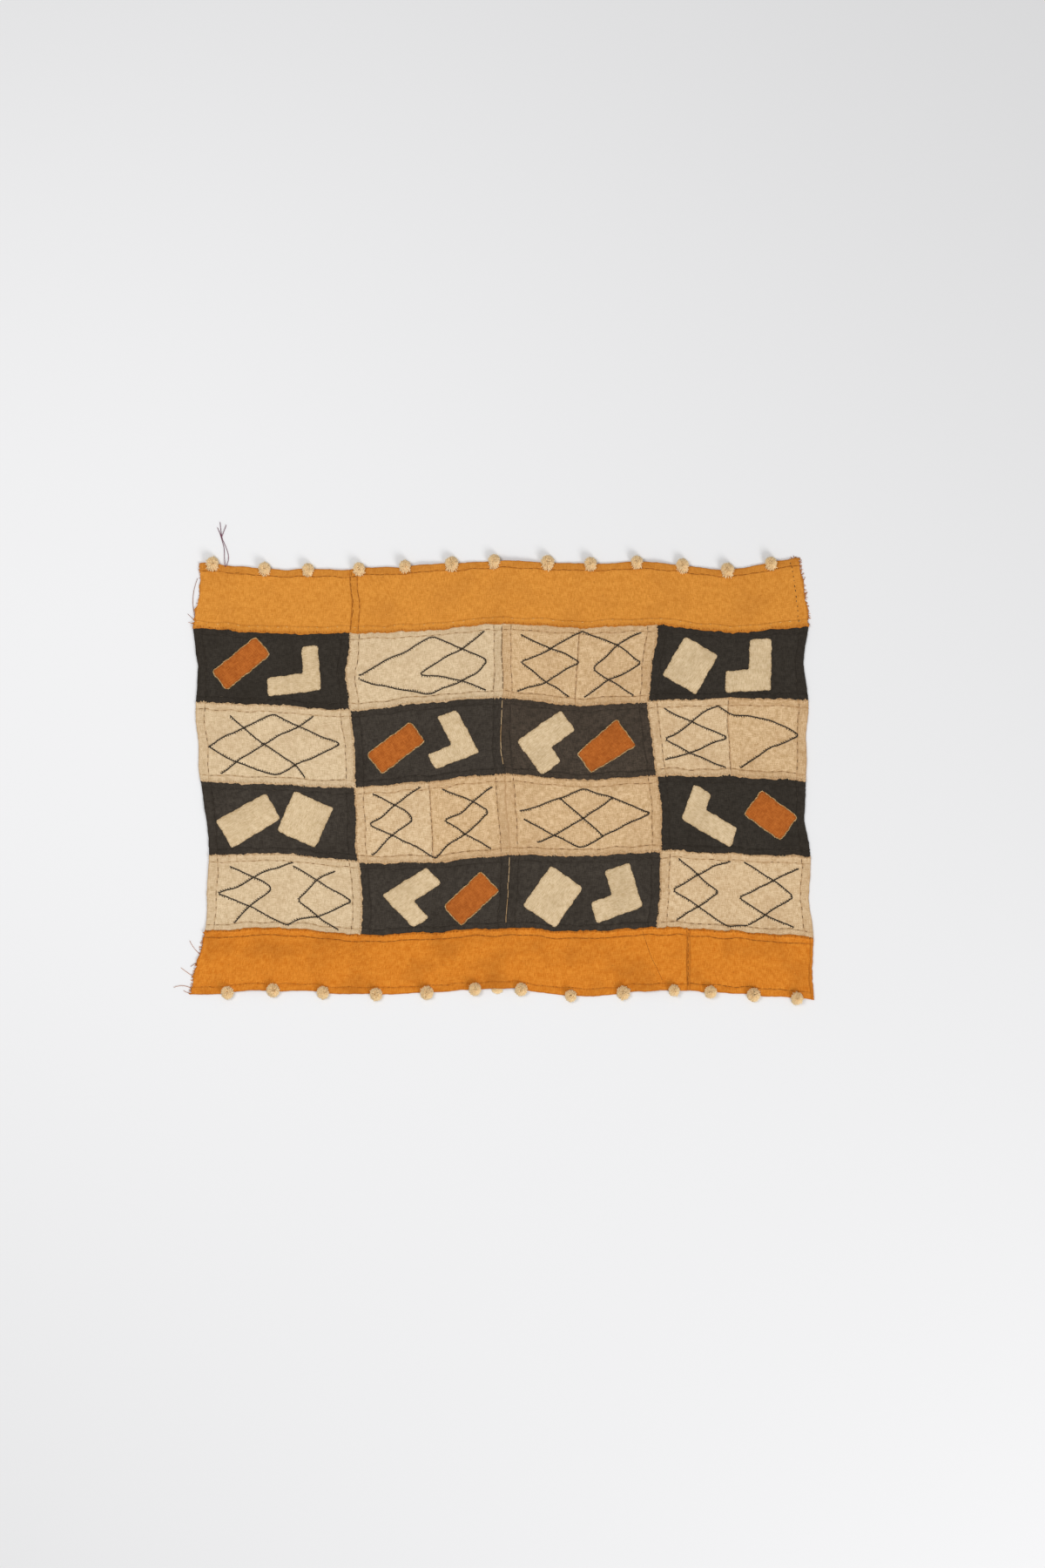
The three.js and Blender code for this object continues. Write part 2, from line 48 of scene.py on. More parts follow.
# Studio floor, light and camera
# The cloth is spread flat on a pale floor. One lamp stands on the near right, a weaker one on the left, and
# the room's own light is even. The camera looks straight down.

floor_width = 14.0
floor_drop = 0.0003
camera_place = (0.0418, -0.0269, 3.25)
camera_lens = 50.0
room_light = 0.47
key_place = (2.47, -3.18, 2.96)
key_width = 2.2
key_power = 113.0
fill_place = (-1.07, 0.41, 2.24)
fill_width = 1.0
fill_power = 21.0


def screen_colour(red, green, blue):
    """A colour as a screen shows it, 0 to 255 a channel, in the linear values that shaders take."""
    shares = [channel / 255 for channel in (red, green, blue)]
    return (*[s / 12.92 if s <= 0.04045 else ((s + 0.055) / 1.055) ** 2.4 for s in shares], 1.0)


def add_node(tree, kind, inputs=None, **settings):
    """Adds a shader node. A socket takes either a value or another node's output."""
    node = tree.nodes.new("ShaderNode" + kind)
    for setting, value in settings.items():
        setattr(node, setting, value)
    for socket, value in (inputs or {}).items():
        if isinstance(value, bpy.types.NodeSocket):
            tree.links.new(value, node.inputs[socket])
        else:
            node.inputs[socket].default_value = value
    return node


def new_material(name, roughness, specular):
    """A material, with its node tree and its shader."""
    material = bpy.data.materials.new(name)
    material.use_nodes = True
    shader = material.node_tree.nodes["Principled BSDF"]
    shader.inputs["Roughness"].default_value = roughness
    shader.inputs["Specular IOR Level"].default_value = specular
    return material, material.node_tree, shader


def link_object(name, data):
    thing = bpy.data.objects.new(name, data)
    bpy.context.scene.collection.objects.link(thing)
    return thing


def add_lamp(name, place, width, power):
    lamp = bpy.data.lights.new(name, "AREA")
    lamp.shape = "DISK"
    lamp.size = width
    lamp.energy = power
    thing = link_object(name, lamp)
    thing.location = place
    thing.rotation_euler = Vector(place).to_track_quat("Z", "Y").to_euler()
    return thing


floor_mesh = bpy.data.meshes.new("Studio floor")
half_floor = floor_width / 2
floor_signs = [(-1, -1), (1, -1), (1, 1), (-1, 1)]
floor_corners = [(x * half_floor, y * half_floor, -floor_drop) for x, y in floor_signs]
floor_mesh.from_pydata(floor_corners, [], [(0, 1, 2, 3)])
floor = link_object("Studio floor", floor_mesh)
floor_paint, _, floor_shader = new_material("Floor paint", 0.9, 0.1)
floor_shader.inputs["Base Color"].default_value = screen_colour(238, 238, 239)
floor_mesh.materials.append(floor_paint)

room = bpy.data.worlds.new("Room")
room.use_nodes = True
room.node_tree.nodes["Background"].inputs["Color"].default_value = (1.0, 1.0, 1.0, 1.0)
room.node_tree.nodes["Background"].inputs["Strength"].default_value = room_light
bpy.context.scene.world = room
key_lamp = add_lamp("Key lamp", key_place, key_width, key_power)
fill_lamp = add_lamp("Fill lamp", fill_place, fill_width, fill_power)

camera = link_object("Camera", bpy.data.cameras.new("Camera"))
camera.data.lens = camera_lens
camera.data.sensor_width = 36.0
camera.location = camera_place
bpy.context.scene.camera = camera
bpy.context.scene.view_settings.view_transform = "Standard"


# Woven raffia
# Every piece is plain-woven from split palm-leaf strands, a little over a millimetre wide, that pass over
# and under one another. The strands differ in shade, and the dye takes unevenly, so the cloth is streaked.

strand_width = 0.0013
weave_depth = 0.0003
strand_wander = 0.002
streak_pace = 0.12
streak_scale = 1.3


def new_group(name, inputs, outputs):
    """A shader node group, with its inner input sockets and its inner output sockets."""
    tree = bpy.data.node_groups.new(name, "ShaderNodeTree")
    for label, kind in inputs.items():
        tree.interface.new_socket(label, in_out="INPUT", socket_type="NodeSocket" + kind)
    for label, kind in outputs.items():
        tree.interface.new_socket(label, in_out="OUTPUT", socket_type="NodeSocket" + kind)
    return tree, tree.nodes.new("NodeGroupInput").outputs, tree.nodes.new("NodeGroupOutput").inputs


def reckon(tree, operation, *values):
    return add_node(tree, "Math", dict(enumerate(values)), operation=operation).outputs[0]


def noise(tree, place, scale, detail):
    return add_node(tree, "TexNoise", {"Vector": place, "Scale": scale, "Detail": detail})


def stretch(tree, value, low, high):
    return add_node(tree, "MapRange", {"Value": value, "From Min": low, "From Max": high}).outputs[0]


def mix_colours(tree, share, first, second):
    return add_node(tree, "Mix", {0: share, 6: first, 7: second}, data_type="RGBA").outputs[2]


plain_weave, given, result = new_group(
    "Plain weave",
    {"Place": "Vector", "Strand": "Float", "Rib": "Float"},
    {"Height": "Float", "Streak": "Float", "Fleck": "Float"},
)
wander = noise(plain_weave, given["Place"], 60.0, 1.0).outputs[1]
wander_by = {0: wander, 1: (strand_wander, strand_wander, 0.0), 2: given["Place"]}
wandering = add_node(plain_weave, "VectorMath", wander_by, operation="MULTIPLY_ADD").outputs[0]
strands_per_metre = reckon(plain_weave, "DIVIDE", 1.0, given["Strand"])
count_by = {0: wandering, "Scale": strands_per_metre}
counted = add_node(plain_weave, "VectorMath", count_by, operation="SCALE").outputs[0]
split = add_node(plain_weave, "SeparateXYZ", {0: counted}).outputs
warp_wave = reckon(plain_weave, "SINE", reckon(plain_weave, "MULTIPLY", split[0], math.pi))
weft_wave = reckon(plain_weave, "SINE", reckon(plain_weave, "MULTIPLY", split[1], math.pi))
crossing = reckon(plain_weave, "MULTIPLY", warp_wave, weft_wave)
warp_over = reckon(plain_weave, "MULTIPLY_ADD", crossing, 0.5, 0.5)
weft_over = reckon(plain_weave, "SUBTRACT", 1.0, warp_over)
warp_height = reckon(plain_weave, "MULTIPLY", reckon(plain_weave, "ABSOLUTE", warp_wave), warp_over)
weft_height = reckon(plain_weave, "MULTIPLY", reckon(plain_weave, "ABSOLUTE", weft_wave), weft_over)
plain_weave.links.new(reckon(plain_weave, "MAXIMUM", warp_height, weft_height), result["Height"])
slow_down = reckon(plain_weave, "MULTIPLY", split[1], streak_pace)
slow_across = reckon(plain_weave, "MULTIPLY", split[0], streak_pace)
warp_place = add_node(plain_weave, "CombineXYZ", {0: split[0], 1: slow_down}).outputs[0]
weft_place = add_node(plain_weave, "CombineXYZ", {0: slow_across, 1: split[1]}).outputs[0]
warp_streak = noise(plain_weave, warp_place, streak_scale, 2.0).outputs[0]
weft_streak = noise(plain_weave, weft_place, streak_scale, 2.0).outputs[0]
on_top = reckon(plain_weave, "MAXIMUM", stretch(plain_weave, crossing, -0.35, 0.35), given["Rib"])
streak = add_node(plain_weave, "Mix", {0: on_top, 2: weft_streak, 3: warp_streak}).outputs[0]
plain_weave.links.new(streak, result["Streak"])
speck = noise(plain_weave, counted, 0.42, 3.0).outputs[0]
plain_weave.links.new(stretch(plain_weave, speck, 0.62, 0.74), result["Fleck"])

# The stain colour serves for real stains and flecks, and also as painted shade along hem stitch lines,
# seams and patch rims.
dyed_raffia, given, result = new_group(
    "Dyed raffia",
    {
        "Place": "Vector", "Streak": "Float", "Fleck": "Float", "Shade and hem tint": "Float",
        "Light": "Color", "Dark": "Color", "Stain and shade": "Color", "Stain share": "Float",
    },
    {"Colour": "Color"},
)
mottle = noise(dyed_raffia, given["Place"], 130.0, 3.0).outputs[0]
broad = noise(dyed_raffia, given["Place"], 17.0, 4.0).outputs[0]
even = reckon(dyed_raffia, "MULTIPLY", given["Streak"], 0.72)
shade = stretch(dyed_raffia, reckon(dyed_raffia, "MULTIPLY_ADD", mottle, 0.28, even), 0.41, 0.59)
ground = mix_colours(dyed_raffia, shade, given["Dark"], given["Light"])
stained = reckon(dyed_raffia, "MULTIPLY", stretch(dyed_raffia, broad, 0.46, 0.72), given["Stain share"])
ground = mix_colours(dyed_raffia, stained, ground, given["Stain and shade"])
# Flecks are the raffia's own colour. The second mark is painted shade along stitch lines, seams and patch
# rims, with a browner tint over doubled hems.
for mark, strength in (("Fleck", 0.45), ("Shade and hem tint", 0.7)):
    marked = reckon(dyed_raffia, "MULTIPLY", given[mark], strength)
    ground = mix_colours(dyed_raffia, marked, ground, given["Stain and shade"])
dyed_raffia.links.new(ground, result["Colour"])


def raffia(name, light, dark, stain_and_shade, stain_share, rib=0.0):
    """Woven raffia of one dye lot. Rib is how far the warp hides the weft."""
    material, tree, shader = new_material(name, 0.85, 0.06)
    place = add_node(tree, "UVMap", uv_map="Weave").outputs[0]
    # A mark on each point: painted shade along stitch lines, seams and patch rims, and a browner tint over
    # doubled hems.
    shade_and_hem_tint = add_node(tree, "Attribute", attribute_name="shade_and_hem_tint").outputs["Fac"]
    threads = {"Place": place, "Strand": strand_width, "Rib": rib}
    weave = add_node(tree, "Group", threads, node_tree=plain_weave).outputs
    dye = {
        "Place": place, "Streak": weave["Streak"], "Fleck": weave["Fleck"], "Shade and hem tint": shade_and_hem_tint,
        "Light": screen_colour(*light), "Dark": screen_colour(*dark), "Stain and shade": screen_colour(*stain_and_shade),
        "Stain share": stain_share,
    }
    colour = add_node(tree, "Group", dye, node_tree=dyed_raffia).outputs["Colour"]
    relief = {"Height": weave["Height"], "Strength": 0.7, "Distance": weave_depth}
    bump = add_node(tree, "Bump", relief).outputs[0]
    tree.links.new(colour, shader.inputs["Base Color"])
    tree.links.new(bump, shader.inputs["Normal"])
    shader.inputs["Sheen Weight"].default_value = 0.05
    shader.inputs["Sheen Roughness"].default_value = 0.6
    return material


# Charcoal panels
# Eight oblong panels of raffia dyed brown-black, cut a little out of square. All four edges are turned
# under, so that a doubled hem runs round each panel, and the panels are sewn edge to edge.

cloth_thickness = 0.0012
hem_rise = 0.0006
side_hem = 0.013
level_hem = 0.0095
hem_slope = 0.0016
seam_reach = 0.0004
lap_rise = 0.0012
lap_depth = 0.005
edge_round = 0.0011
edge_fall = 0.0006
cut_roughness = 0.0002
hem_margin = 0.003
hem_bend = 0.0005
long_bend = 0.052
short_bend = 0.019
pucker_rise = 0.00016
pucker_reach = 0.004
pucker_length = 0.0117
groove_depth = 0.0004
groove_reach = 0.0011
# Painted shade: how dark a hem's stitch line is painted and how brown its doubled hem, how far that line
# spreads, and how dark and wide the painted shade along every edge is.
hem_shade_and_tint = (0.85, 0.2)
shade_line_reach = 0.0009
seam_shade = 0.9
seam_shade_reach = 0.0016
sheet_edge_angle = math.radians(55)
fine_step = 0.001
wide_step = 0.0045
ripple_rise = 0.00016
sides_of_a_panel = ("upper", "lower", "left", "right")

ripple_lengths = chance.uniform(0.04, 0.13, 6)
ripple_headings = chance.uniform(0, math.pi, 6)
ripple_starts = chance.uniform(0, 2 * math.pi, 6)
drift_size = 0.00034
drift_lengths = chance.uniform(0.026, 0.09, (2, 6))
drift_headings = chance.uniform(0, math.pi, (2, 6))
drift_starts = chance.uniform(0, 2 * math.pi, (2, 6))


def unit(vectors):
    return vectors / np.linalg.norm(vectors, axis=-1, keepdims=True)


def signed_area(outline):
    """The area inside an outline seen from above, negative if it runs clockwise."""
    following = np.roll(outline, -1, 0)
    return np.sum(outline[:, 0] * following[:, 1] - outline[:, 1] * following[:, 0]) / 2


def underside_outline(node):
    """The outline of a node's underside, anticlockwise from above, as rows of x, y, z."""
    mesh = bmesh.new()
    mesh.from_mesh(frame["nodes"][node].data)
    bmesh.ops.remove_doubles(mesh, verts=mesh.verts, dist=1e-5)
    mesh.normal_update()
    uses = {}
    for face in mesh.faces:
        if face.normal.z < -0.5:
            for edge in face.edges:
                uses[edge] = uses.get(edge, 0) + 1
    beside = {}
    for edge in (edge for edge, count in uses.items() if count == 1):
        first, second = edge.verts
        beside.setdefault(first, []).append(second)
        beside.setdefault(second, []).append(first)
    here = next(iter(beside))
    walk = [here]
    while True:
        ahead = [vertex for vertex in beside[here] if vertex not in walk[-2:] and vertex is not walk[0]]
        if not ahead:
            break
        here = ahead[0]
        walk.append(here)
    outline = np.array([vertex.co for vertex in walk])
    mesh.free()
    return outline if signed_area(outline) > 0 else outline[::-1]


def four_sides(outline):
    """The sides between the four sharpest corners, level ones from the left, upright ones from above."""
    before = outline - np.roll(outline, 1, 0)
    after = np.roll(outline, -1, 0) - outline
    turn = before[:, 0] * after[:, 1] - before[:, 1] * after[:, 0]
    turn /= np.linalg.norm(before, axis=1) * np.linalg.norm(after, axis=1)
    corners = np.sort(np.argsort(turn)[-4:])
    first = max(corners, key=lambda corner: outline[corner][1] - outline[corner][0])
    loop = np.roll(outline, -first, 0)
    loop = np.vstack([loop, loop[:1]])
    cuts = [*sorted((corners - first) % len(outline)), len(outline)]
    left, lower, right, upper = [loop[start : end + 1] for start, end in zip(cuts, cuts[1:])]
    return {"upper": upper[::-1], "lower": lower, "left": left, "right": right[::-1]}


def run_length(line):
    return np.linalg.norm(np.diff(line, axis=0), axis=1).sum()


def along(line, shares):
    """Points at these shares of a line's length."""
    steps = np.linalg.norm(np.diff(line, axis=0), axis=1)
    reached = np.concatenate([[0.0], np.cumsum(steps)]) / steps.sum()
    return np.stack([np.interp(shares, reached, line[:, axis]) for axis in range(3)], -1)


def fade(share):
    """A smooth step from 0 to 1."""
    share = np.clip(share, 0, 1)
    return share * share * (3 - 2 * share)


def drift(place):
    """How far hand sewing has let the cloth wander from true, in x and in y."""
    moves = []
    for lengths, headings, starts in zip(drift_lengths, drift_headings, drift_starts):
        travel = place[..., :1] * np.cos(headings) + place[..., 1:2] * np.sin(headings)
        moves.append(drift_size * np.sin(2 * math.pi * travel / lengths + starts).sum(-1))
    return np.stack(moves, -1)


class Cloth:
    """A four-sided cloth between its seam lines. Across and down are shares from the upper left."""

    def __init__(self, sides, hems, laps=None, shades_and_tints=None):
        self.sides = sides
        self.hems = hems
        self.laps = laps or {}
        self.shades_and_tints = shades_and_tints or {}
        self.starts = dict(zip(sides_of_a_panel, chance.uniform(0, 2 * math.pi, 4)))
        self.width = (run_length(sides["upper"]) + run_length(sides["lower"])) / 2
        self.depth = (run_length(sides["left"]) + run_length(sides["right"])) / 2

    def spread(self, across, down):
        """Places on the underside."""
        across, down = np.broadcast_arrays(np.asarray(across, float), np.asarray(down, float))
        upper, lower = along(self.sides["upper"], across), along(self.sides["lower"], across)
        left, right = along(self.sides["left"], down), along(self.sides["right"], down)
        a, d = across[..., None], down[..., None]
        upper_corners = (1 - a) * self.sides["upper"][0] + a * self.sides["upper"][-1]
        lower_corners = (1 - a) * self.sides["lower"][0] + a * self.sides["lower"][-1]
        place = (1 - d) * (upper - upper_corners) + d * (lower - lower_corners) + (1 - a) * left + a * right
        place[..., :2] += drift(place)
        place[..., 2] = np.maximum(place[..., 2], 0.0)
        return place

    def hem_line(self, side, run):
        """How far in a hem's stitch line is, at a length along its side."""
        bend = np.sin(2 * math.pi * run / long_bend + self.starts[side])
        bend = bend + 0.6 * np.sin(2 * math.pi * run / short_bend)
        return self.hems.get(side, 0.0) + hem_bend * bend

    def insets(self, across, down):
        """How far in from each side, and how far along it, a place is."""
        across, down = np.asarray(across) * self.width, np.asarray(down) * self.depth
        return {
            "upper": (down, across),
            "lower": (self.depth - down, across),
            "left": (across, down),
            "right": (self.width - across, down),
        }

    def lap(self, across, down):
        """How much an edge that lies over its neighbour is raised."""
        raised = np.zeros(np.broadcast(across, down).shape)
        for side, (inset, _) in self.insets(across, down).items():
            if self.laps.get(side):
                raised = np.maximum(raised, lap_rise * fade(1 - inset / lap_depth))
        return raised

    def face(self, across, down):
        """Places on the upper face."""
        place = self.spread(across, down)
        height = cloth_thickness + ripple_rise * len(ripple_lengths)
        for length, heading, start in zip(ripple_lengths, ripple_headings, ripple_starts):
            travel = place[..., 0] * math.cos(heading) + place[..., 1] * math.sin(heading)
            height = height + ripple_rise * np.sin(2 * math.pi * travel / length + start)
        doubled = 0.0
        for side, (inset, run) in self.insets(across, down).items():
            if self.hems.get(side):
                hem = self.hem_line(side, run)
                doubled = np.maximum(doubled, fade((hem - inset) / hem_slope + 0.5))
                near_stitches = np.exp(-(((inset - hem) / pucker_reach) ** 2))
                height = height + pucker_rise * near_stitches * np.sin(2 * math.pi * run / pucker_length)
                height = height - groove_depth * np.exp(-(((inset - hem) / groove_reach) ** 2))
            height = height - edge_fall * np.clip(1 - inset / edge_round, 0, 1) ** 2
        place[..., 2] += height + hem_rise * doubled + self.lap(across, down)
        return place

    def shade_and_hem_tint(self, across, down):
        """Painted shade: how far the cloth is darkened along the hems' stitch lines and along every seam,
        with a browner tint over doubled hems.
        """
        dark = np.zeros(np.broadcast(across, down).shape)
        for side, (inset, run) in self.insets(across, down).items():
            if self.hems.get(side):
                hem = self.hem_line(side, run)
                line, tint = self.shades_and_tints.get(side, hem_shade_and_tint)
                dark = np.maximum(dark, line * np.exp(-(((inset - hem) / shade_line_reach) ** 2)))
                dark = np.maximum(dark, tint * fade((hem - inset) / hem_slope + 0.5))
            dark = np.maximum(dark, seam_shade * np.clip(1 - inset / seam_shade_reach, 0, 1))
        return dark

    def locate(self, x, y):
        """The shares across and down of places seen from above."""
        across, down = np.full(np.shape(x), 0.5), np.full(np.shape(x), 0.5)
        step = 1e-4
        for _ in range(6):
            here = self.spread(across, down)
            by_across = (self.spread(across + step, down) - here) / step
            by_down = (self.spread(across, down + step) - here) / step
            miss_x, miss_y = x - here[..., 0], y - here[..., 1]
            scale = by_across[..., 0] * by_down[..., 1] - by_across[..., 1] * by_down[..., 0]
            across = np.clip(across + (miss_x * by_down[..., 1] - miss_y * by_down[..., 0]) / scale, 0, 1)
            down = np.clip(down + (miss_y * by_across[..., 0] - miss_x * by_across[..., 1]) / scale, 0, 1)
        return across, down


def stations(length, first_hem, last_hem):
    """Shares along a side, close together over the hems and further apart between them."""
    first, last = first_hem + hem_margin, last_hem + hem_margin
    between = np.linspace(first, length - last, max(2, round((length - first - last) / wide_step)))
    near = np.arange(0, first, fine_step)
    far = length - np.arange(0, last, fine_step)[::-1]
    return np.concatenate([near, between, far]) / length


def make_piece(name, points, faces, material, nodes=()):
    """A piece of the cloth, which rides the body and stands for these nodes."""
    mesh = bpy.data.meshes.new(name)
    mesh.from_pydata(points.tolist(), [], faces)
    mesh.materials.append(material)
    mesh.shade_smooth()
    thing = link_object(name, mesh)
    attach(thing, "root")
    if nodes:
        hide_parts(*nodes)
    return thing


def mark_points(thing, label, values):
    marks = thing.data.attributes.new(label, "FLOAT", "POINT")
    marks.data.foreach_set("value", np.asarray(values, np.float32).ravel())


def mark_weave(thing, places):
    """Stores where on the weave each point is, in metres along the strands."""
    corners = np.empty(len(thing.data.loops), np.int32)
    thing.data.loops.foreach_get("vertex_index", corners)
    weave = thing.data.uv_layers.new(name="Weave")
    weave.data.foreach_set("uv", places[corners].astype(np.float32).ravel())


def lay_cloth(name, cloth, material, nodes, reaches, ragged):
    """A sheet with an upper face, an underside and a rim. Edges reach out by their seam or lap."""
    across = stations(cloth.width, cloth.hems.get("left", 0.0), cloth.hems.get("right", 0.0))[None, :]
    down = stations(cloth.depth, cloth.hems.get("upper", 0.0), cloth.hems.get("lower", 0.0))[:, None]
    upper = cloth.face(across, down)
    under = cloth.spread(across, down)
    under[..., 2] += cloth.lap(across, down)
    rows, columns = upper.shape[:2]
    edges = {"upper": np.s_[0, :], "lower": np.s_[-1, :], "left": np.s_[:, 0], "right": np.s_[:, -1]}
    inner = {"upper": np.s_[1, :], "lower": np.s_[-2, :], "left": np.s_[:, 1], "right": np.s_[:, -2]}
    for side in sides_of_a_panel:
        outward = under[edges[side]] - under[inner[side]]
        outward[..., 2] = 0
        roughness = ragged.get(side, cut_roughness) * chance.normal(size=len(outward))
        push = unit(outward) * (reaches.get(side, seam_reach) + roughness)[:, None]
        upper[edges[side]] += push
        under[edges[side]] += push
    index = np.arange(rows * columns).reshape(rows, columns)
    corners = [index[:-1, :-1], index[1:, :-1], index[1:, 1:], index[:-1, 1:]]
    upper_faces = np.stack(corners, -1).reshape(-1, 4)
    under_faces = upper_faces[:, ::-1] + rows * columns
    rim = np.concatenate([index[0], index[1:, -1], index[-1, -2::-1], index[-2:0:-1, 0]])
    after = np.roll(rim, -1)
    rim_faces = np.stack([rim, after, after + rows * columns, rim + rows * columns], -1)
    points = np.concatenate([upper.reshape(-1, 3), under.reshape(-1, 3)])
    faces = np.concatenate([upper_faces, under_faces, rim_faces]).tolist()
    thing = make_piece(name, points, faces, material, nodes)
    weave = np.stack(np.broadcast_arrays(across * cloth.width, down * cloth.depth), -1).reshape(-1, 2)
    weave = weave + chance.uniform(0, 5, 2)
    mark_weave(thing, np.concatenate([weave, weave]))
    # Painted shade along stitch lines and seams, and the hems' browner tint, stored on every point.
    mark_points(thing, "shade_and_hem_tint", np.tile(cloth.shade_and_hem_tint(across, down).ravel(), 2))
    thing.data.set_sharp_from_angle(angle=sheet_edge_angle)
    return thing


def panel_hems(node):
    """A panel's hems. Where a panel is pieced from two scraps, the scraps meet raw edge to raw edge."""
    hems = {"upper": level_hem, "lower": level_hem, "left": side_hem, "right": side_hem}
    if node.endswith("_left"):
        hems["right"] = 0.0
    if node.endswith("_right"):
        hems["left"] = 0.0
    return hems


charcoal_lots = {
    "near-black": ((62, 56, 49), (43, 38, 32), ["r1_c1", "r1_c4", "r3_c4"]),
    "charcoal": ((73, 66, 58), (50, 44, 38), ["r2_c2", "r3_c1", "r4_c2", "r4_c3"]),
    "brown-black": ((84, 72, 61), (54, 47, 39), ["r2_c3"]),
}
# Its stain colour also serves as painted shade along stitch lines and seams.
charcoal_stain_and_shade = (38, 32, 25)

cloths = {}
for lot, (light, dark, places) in charcoal_lots.items():
    dye = raffia("Raffia dyed " + lot, light, dark, charcoal_stain_and_shade, 0.35)
    for node in ("panel_" + place for place in places):
        cloths[node] = Cloth(four_sides(underside_outline(node)), panel_hems(node))
        lay_cloth("charcoal_" + node, cloths[node], dye, [node], {}, {})
charcoal_panels = list(cloths)


# Straw panels
# Eight panels of undyed raffia, from cream to rosy tan as the leaf happened to be. Three are pieced from
# two scraps. Their hems lie a little over the charcoal panels that they are sewn to.

lap_reach = 0.0012
lap_roughness = 0.0008
# Light, dark, and a stain colour that also serves as painted shade along stitch lines and seams.
straw_lots = {
    "cream": ((235, 210, 173), (201, 174, 135), (168, 130, 89), ["r1_c2", "r2_c1", "r4_c1"]),
    "straw": ((236, 208, 168), (199, 166, 124), (165, 122, 77), ["r2_c4_left", "r3_c2_left", "r4_c4"]),
    "rosy": (
        (234, 201, 158), (192, 156, 110), (159, 114, 71),
        ["r1_c3_left", "r1_c3_right", "r2_c4_right", "r3_c2_right", "r3_c3"],
    ),
}


def row_and_column(node):
    row, column = node.split("_")[1:3]
    return int(row[1]), int(column[1])


def charcoal_neighbours(node):
    """The sides on which a straw panel meets a charcoal one."""
    row, column = row_and_column(node)
    beside = {
        "upper": f"panel_r{row - 1}_c{column}",
        "lower": f"panel_r{row + 1}_c{column}",
        "left": f"panel_r{row}_c{column - 1}",
        "right": f"panel_r{row}_c{column + 1}",
    }
    if node.endswith("_left"):
        del beside["right"]
    if node.endswith("_right"):
        del beside["left"]
    return [side for side, other in beside.items() if other in charcoal_panels]


straw_panels = []
for lot, (light, dark, stain_and_shade, places) in straw_lots.items():
    dye = raffia("Undyed raffia, " + lot, light, dark, stain_and_shade, 0.2)
    for node in ("panel_" + place for place in places):
        over = {side: lap_reach for side in charcoal_neighbours(node)}
        rough = {side: lap_roughness for side in over}
        cloths[node] = Cloth(four_sides(underside_outline(node)), panel_hems(node), over)
        lay_cloth("straw_" + node, cloths[node], dye, [node], over, rough)
        straw_panels.append(node)


# Ochre bands
# A long band of raffia dyed ochre borders the patchwork above and below. Each is pieced from two lengths.
# Its inner edge is hemmed and sewn over the panels, its outer edge is turned up, and its ends are left raw.

band_height = 0.095
edge_strip = 0.015
edge_lift = 1.46
outer_hem = 0.0105
inner_hem = 0.0095
frayed_length = 0.0078
band_lap = 0.0016
raw_edge = 0.0011
band_roughness = 0.0006
band_rib = 0.35
edge_drawn_in = {"upper": -0.0045, "lower": 0.0022}
edge_start = -0.44
edge_easing = 0.1


def drawn_edge(edge, x):
    """How far the pompoms' stitches draw a turned edge in, eased off toward the left end."""
    return edge_drawn_in[edge] * fade((x - edge_start) / edge_easing)


# Painted shade along each hem's stitch line, and the browner tint over its doubled hem, for the upper and
# the lower band.
band_shades_and_tints = {
    "upper": {"upper": (0.95, 0.3), "lower": (0.35, 0.0)},
    "lower": {"upper": (1.0, 0.0), "lower": (0.5, 0.1)},
}


def lengthened(line, end, shift):
    """A line with one more point beyond its left or its right end."""
    return np.vstack([line[:1] + shift, line] if end == "left" else [line, line[-1:] + shift])


def band_cloth(node, outer, inner, frayed, joined):
    """A length of band, out to its turned edge and to its frayed end."""
    sides = four_sides(underside_outline(node))
    shares = np.linspace(0, 1, 160)
    seam, strip = along(sides[inner], shares), along(sides[outer], shares)
    edge = strip + (strip - seam) * edge_strip / (band_height - edge_strip)
    edge[:, 1] += drawn_edge(outer, edge[:, 0])
    edge[:, 2] = strip[:, 2] * edge_lift
    ends = {}
    for end, beyond in (("left", -frayed_length), ("right", frayed_length)):
        shift = np.array([beyond if end in frayed else 0.0, 0.0, 0.0])
        if end in frayed:
            edge = lengthened(edge, end, shift)
            seam = lengthened(seam, end, shift)
        tip = edge[:1] if end == "left" else edge[-1:]
        inside = sides[end] + shift
        ends[end] = np.vstack([tip, inside]) if outer == "upper" else np.vstack([inside, tip])
    upper, lower = (edge, seam) if outer == "upper" else (seam, edge)
    hems = {outer: outer_hem, inner: inner_hem, **joined}
    return Cloth({"upper": upper, "lower": lower, **ends}, hems, {inner: band_lap}, band_shades_and_tints[outer])


band_lots = {
    "upper_band_left": ("upper", "lower", ["left"], {}, 0.15),
    "upper_band_right": ("upper", "lower", ["right"], {"left": 0.011}, 0.2),
    "lower_band_left": ("lower", "upper", ["left"], {}, 0.4),
    "lower_band_right": ("lower", "upper", [], {"left": 0.004, "right": 0.004}, 0.35),
}
ochre_lots = {"upper": ((230, 155, 65), (205, 130, 45)), "lower": ((230, 145, 50), (205, 115, 25))}
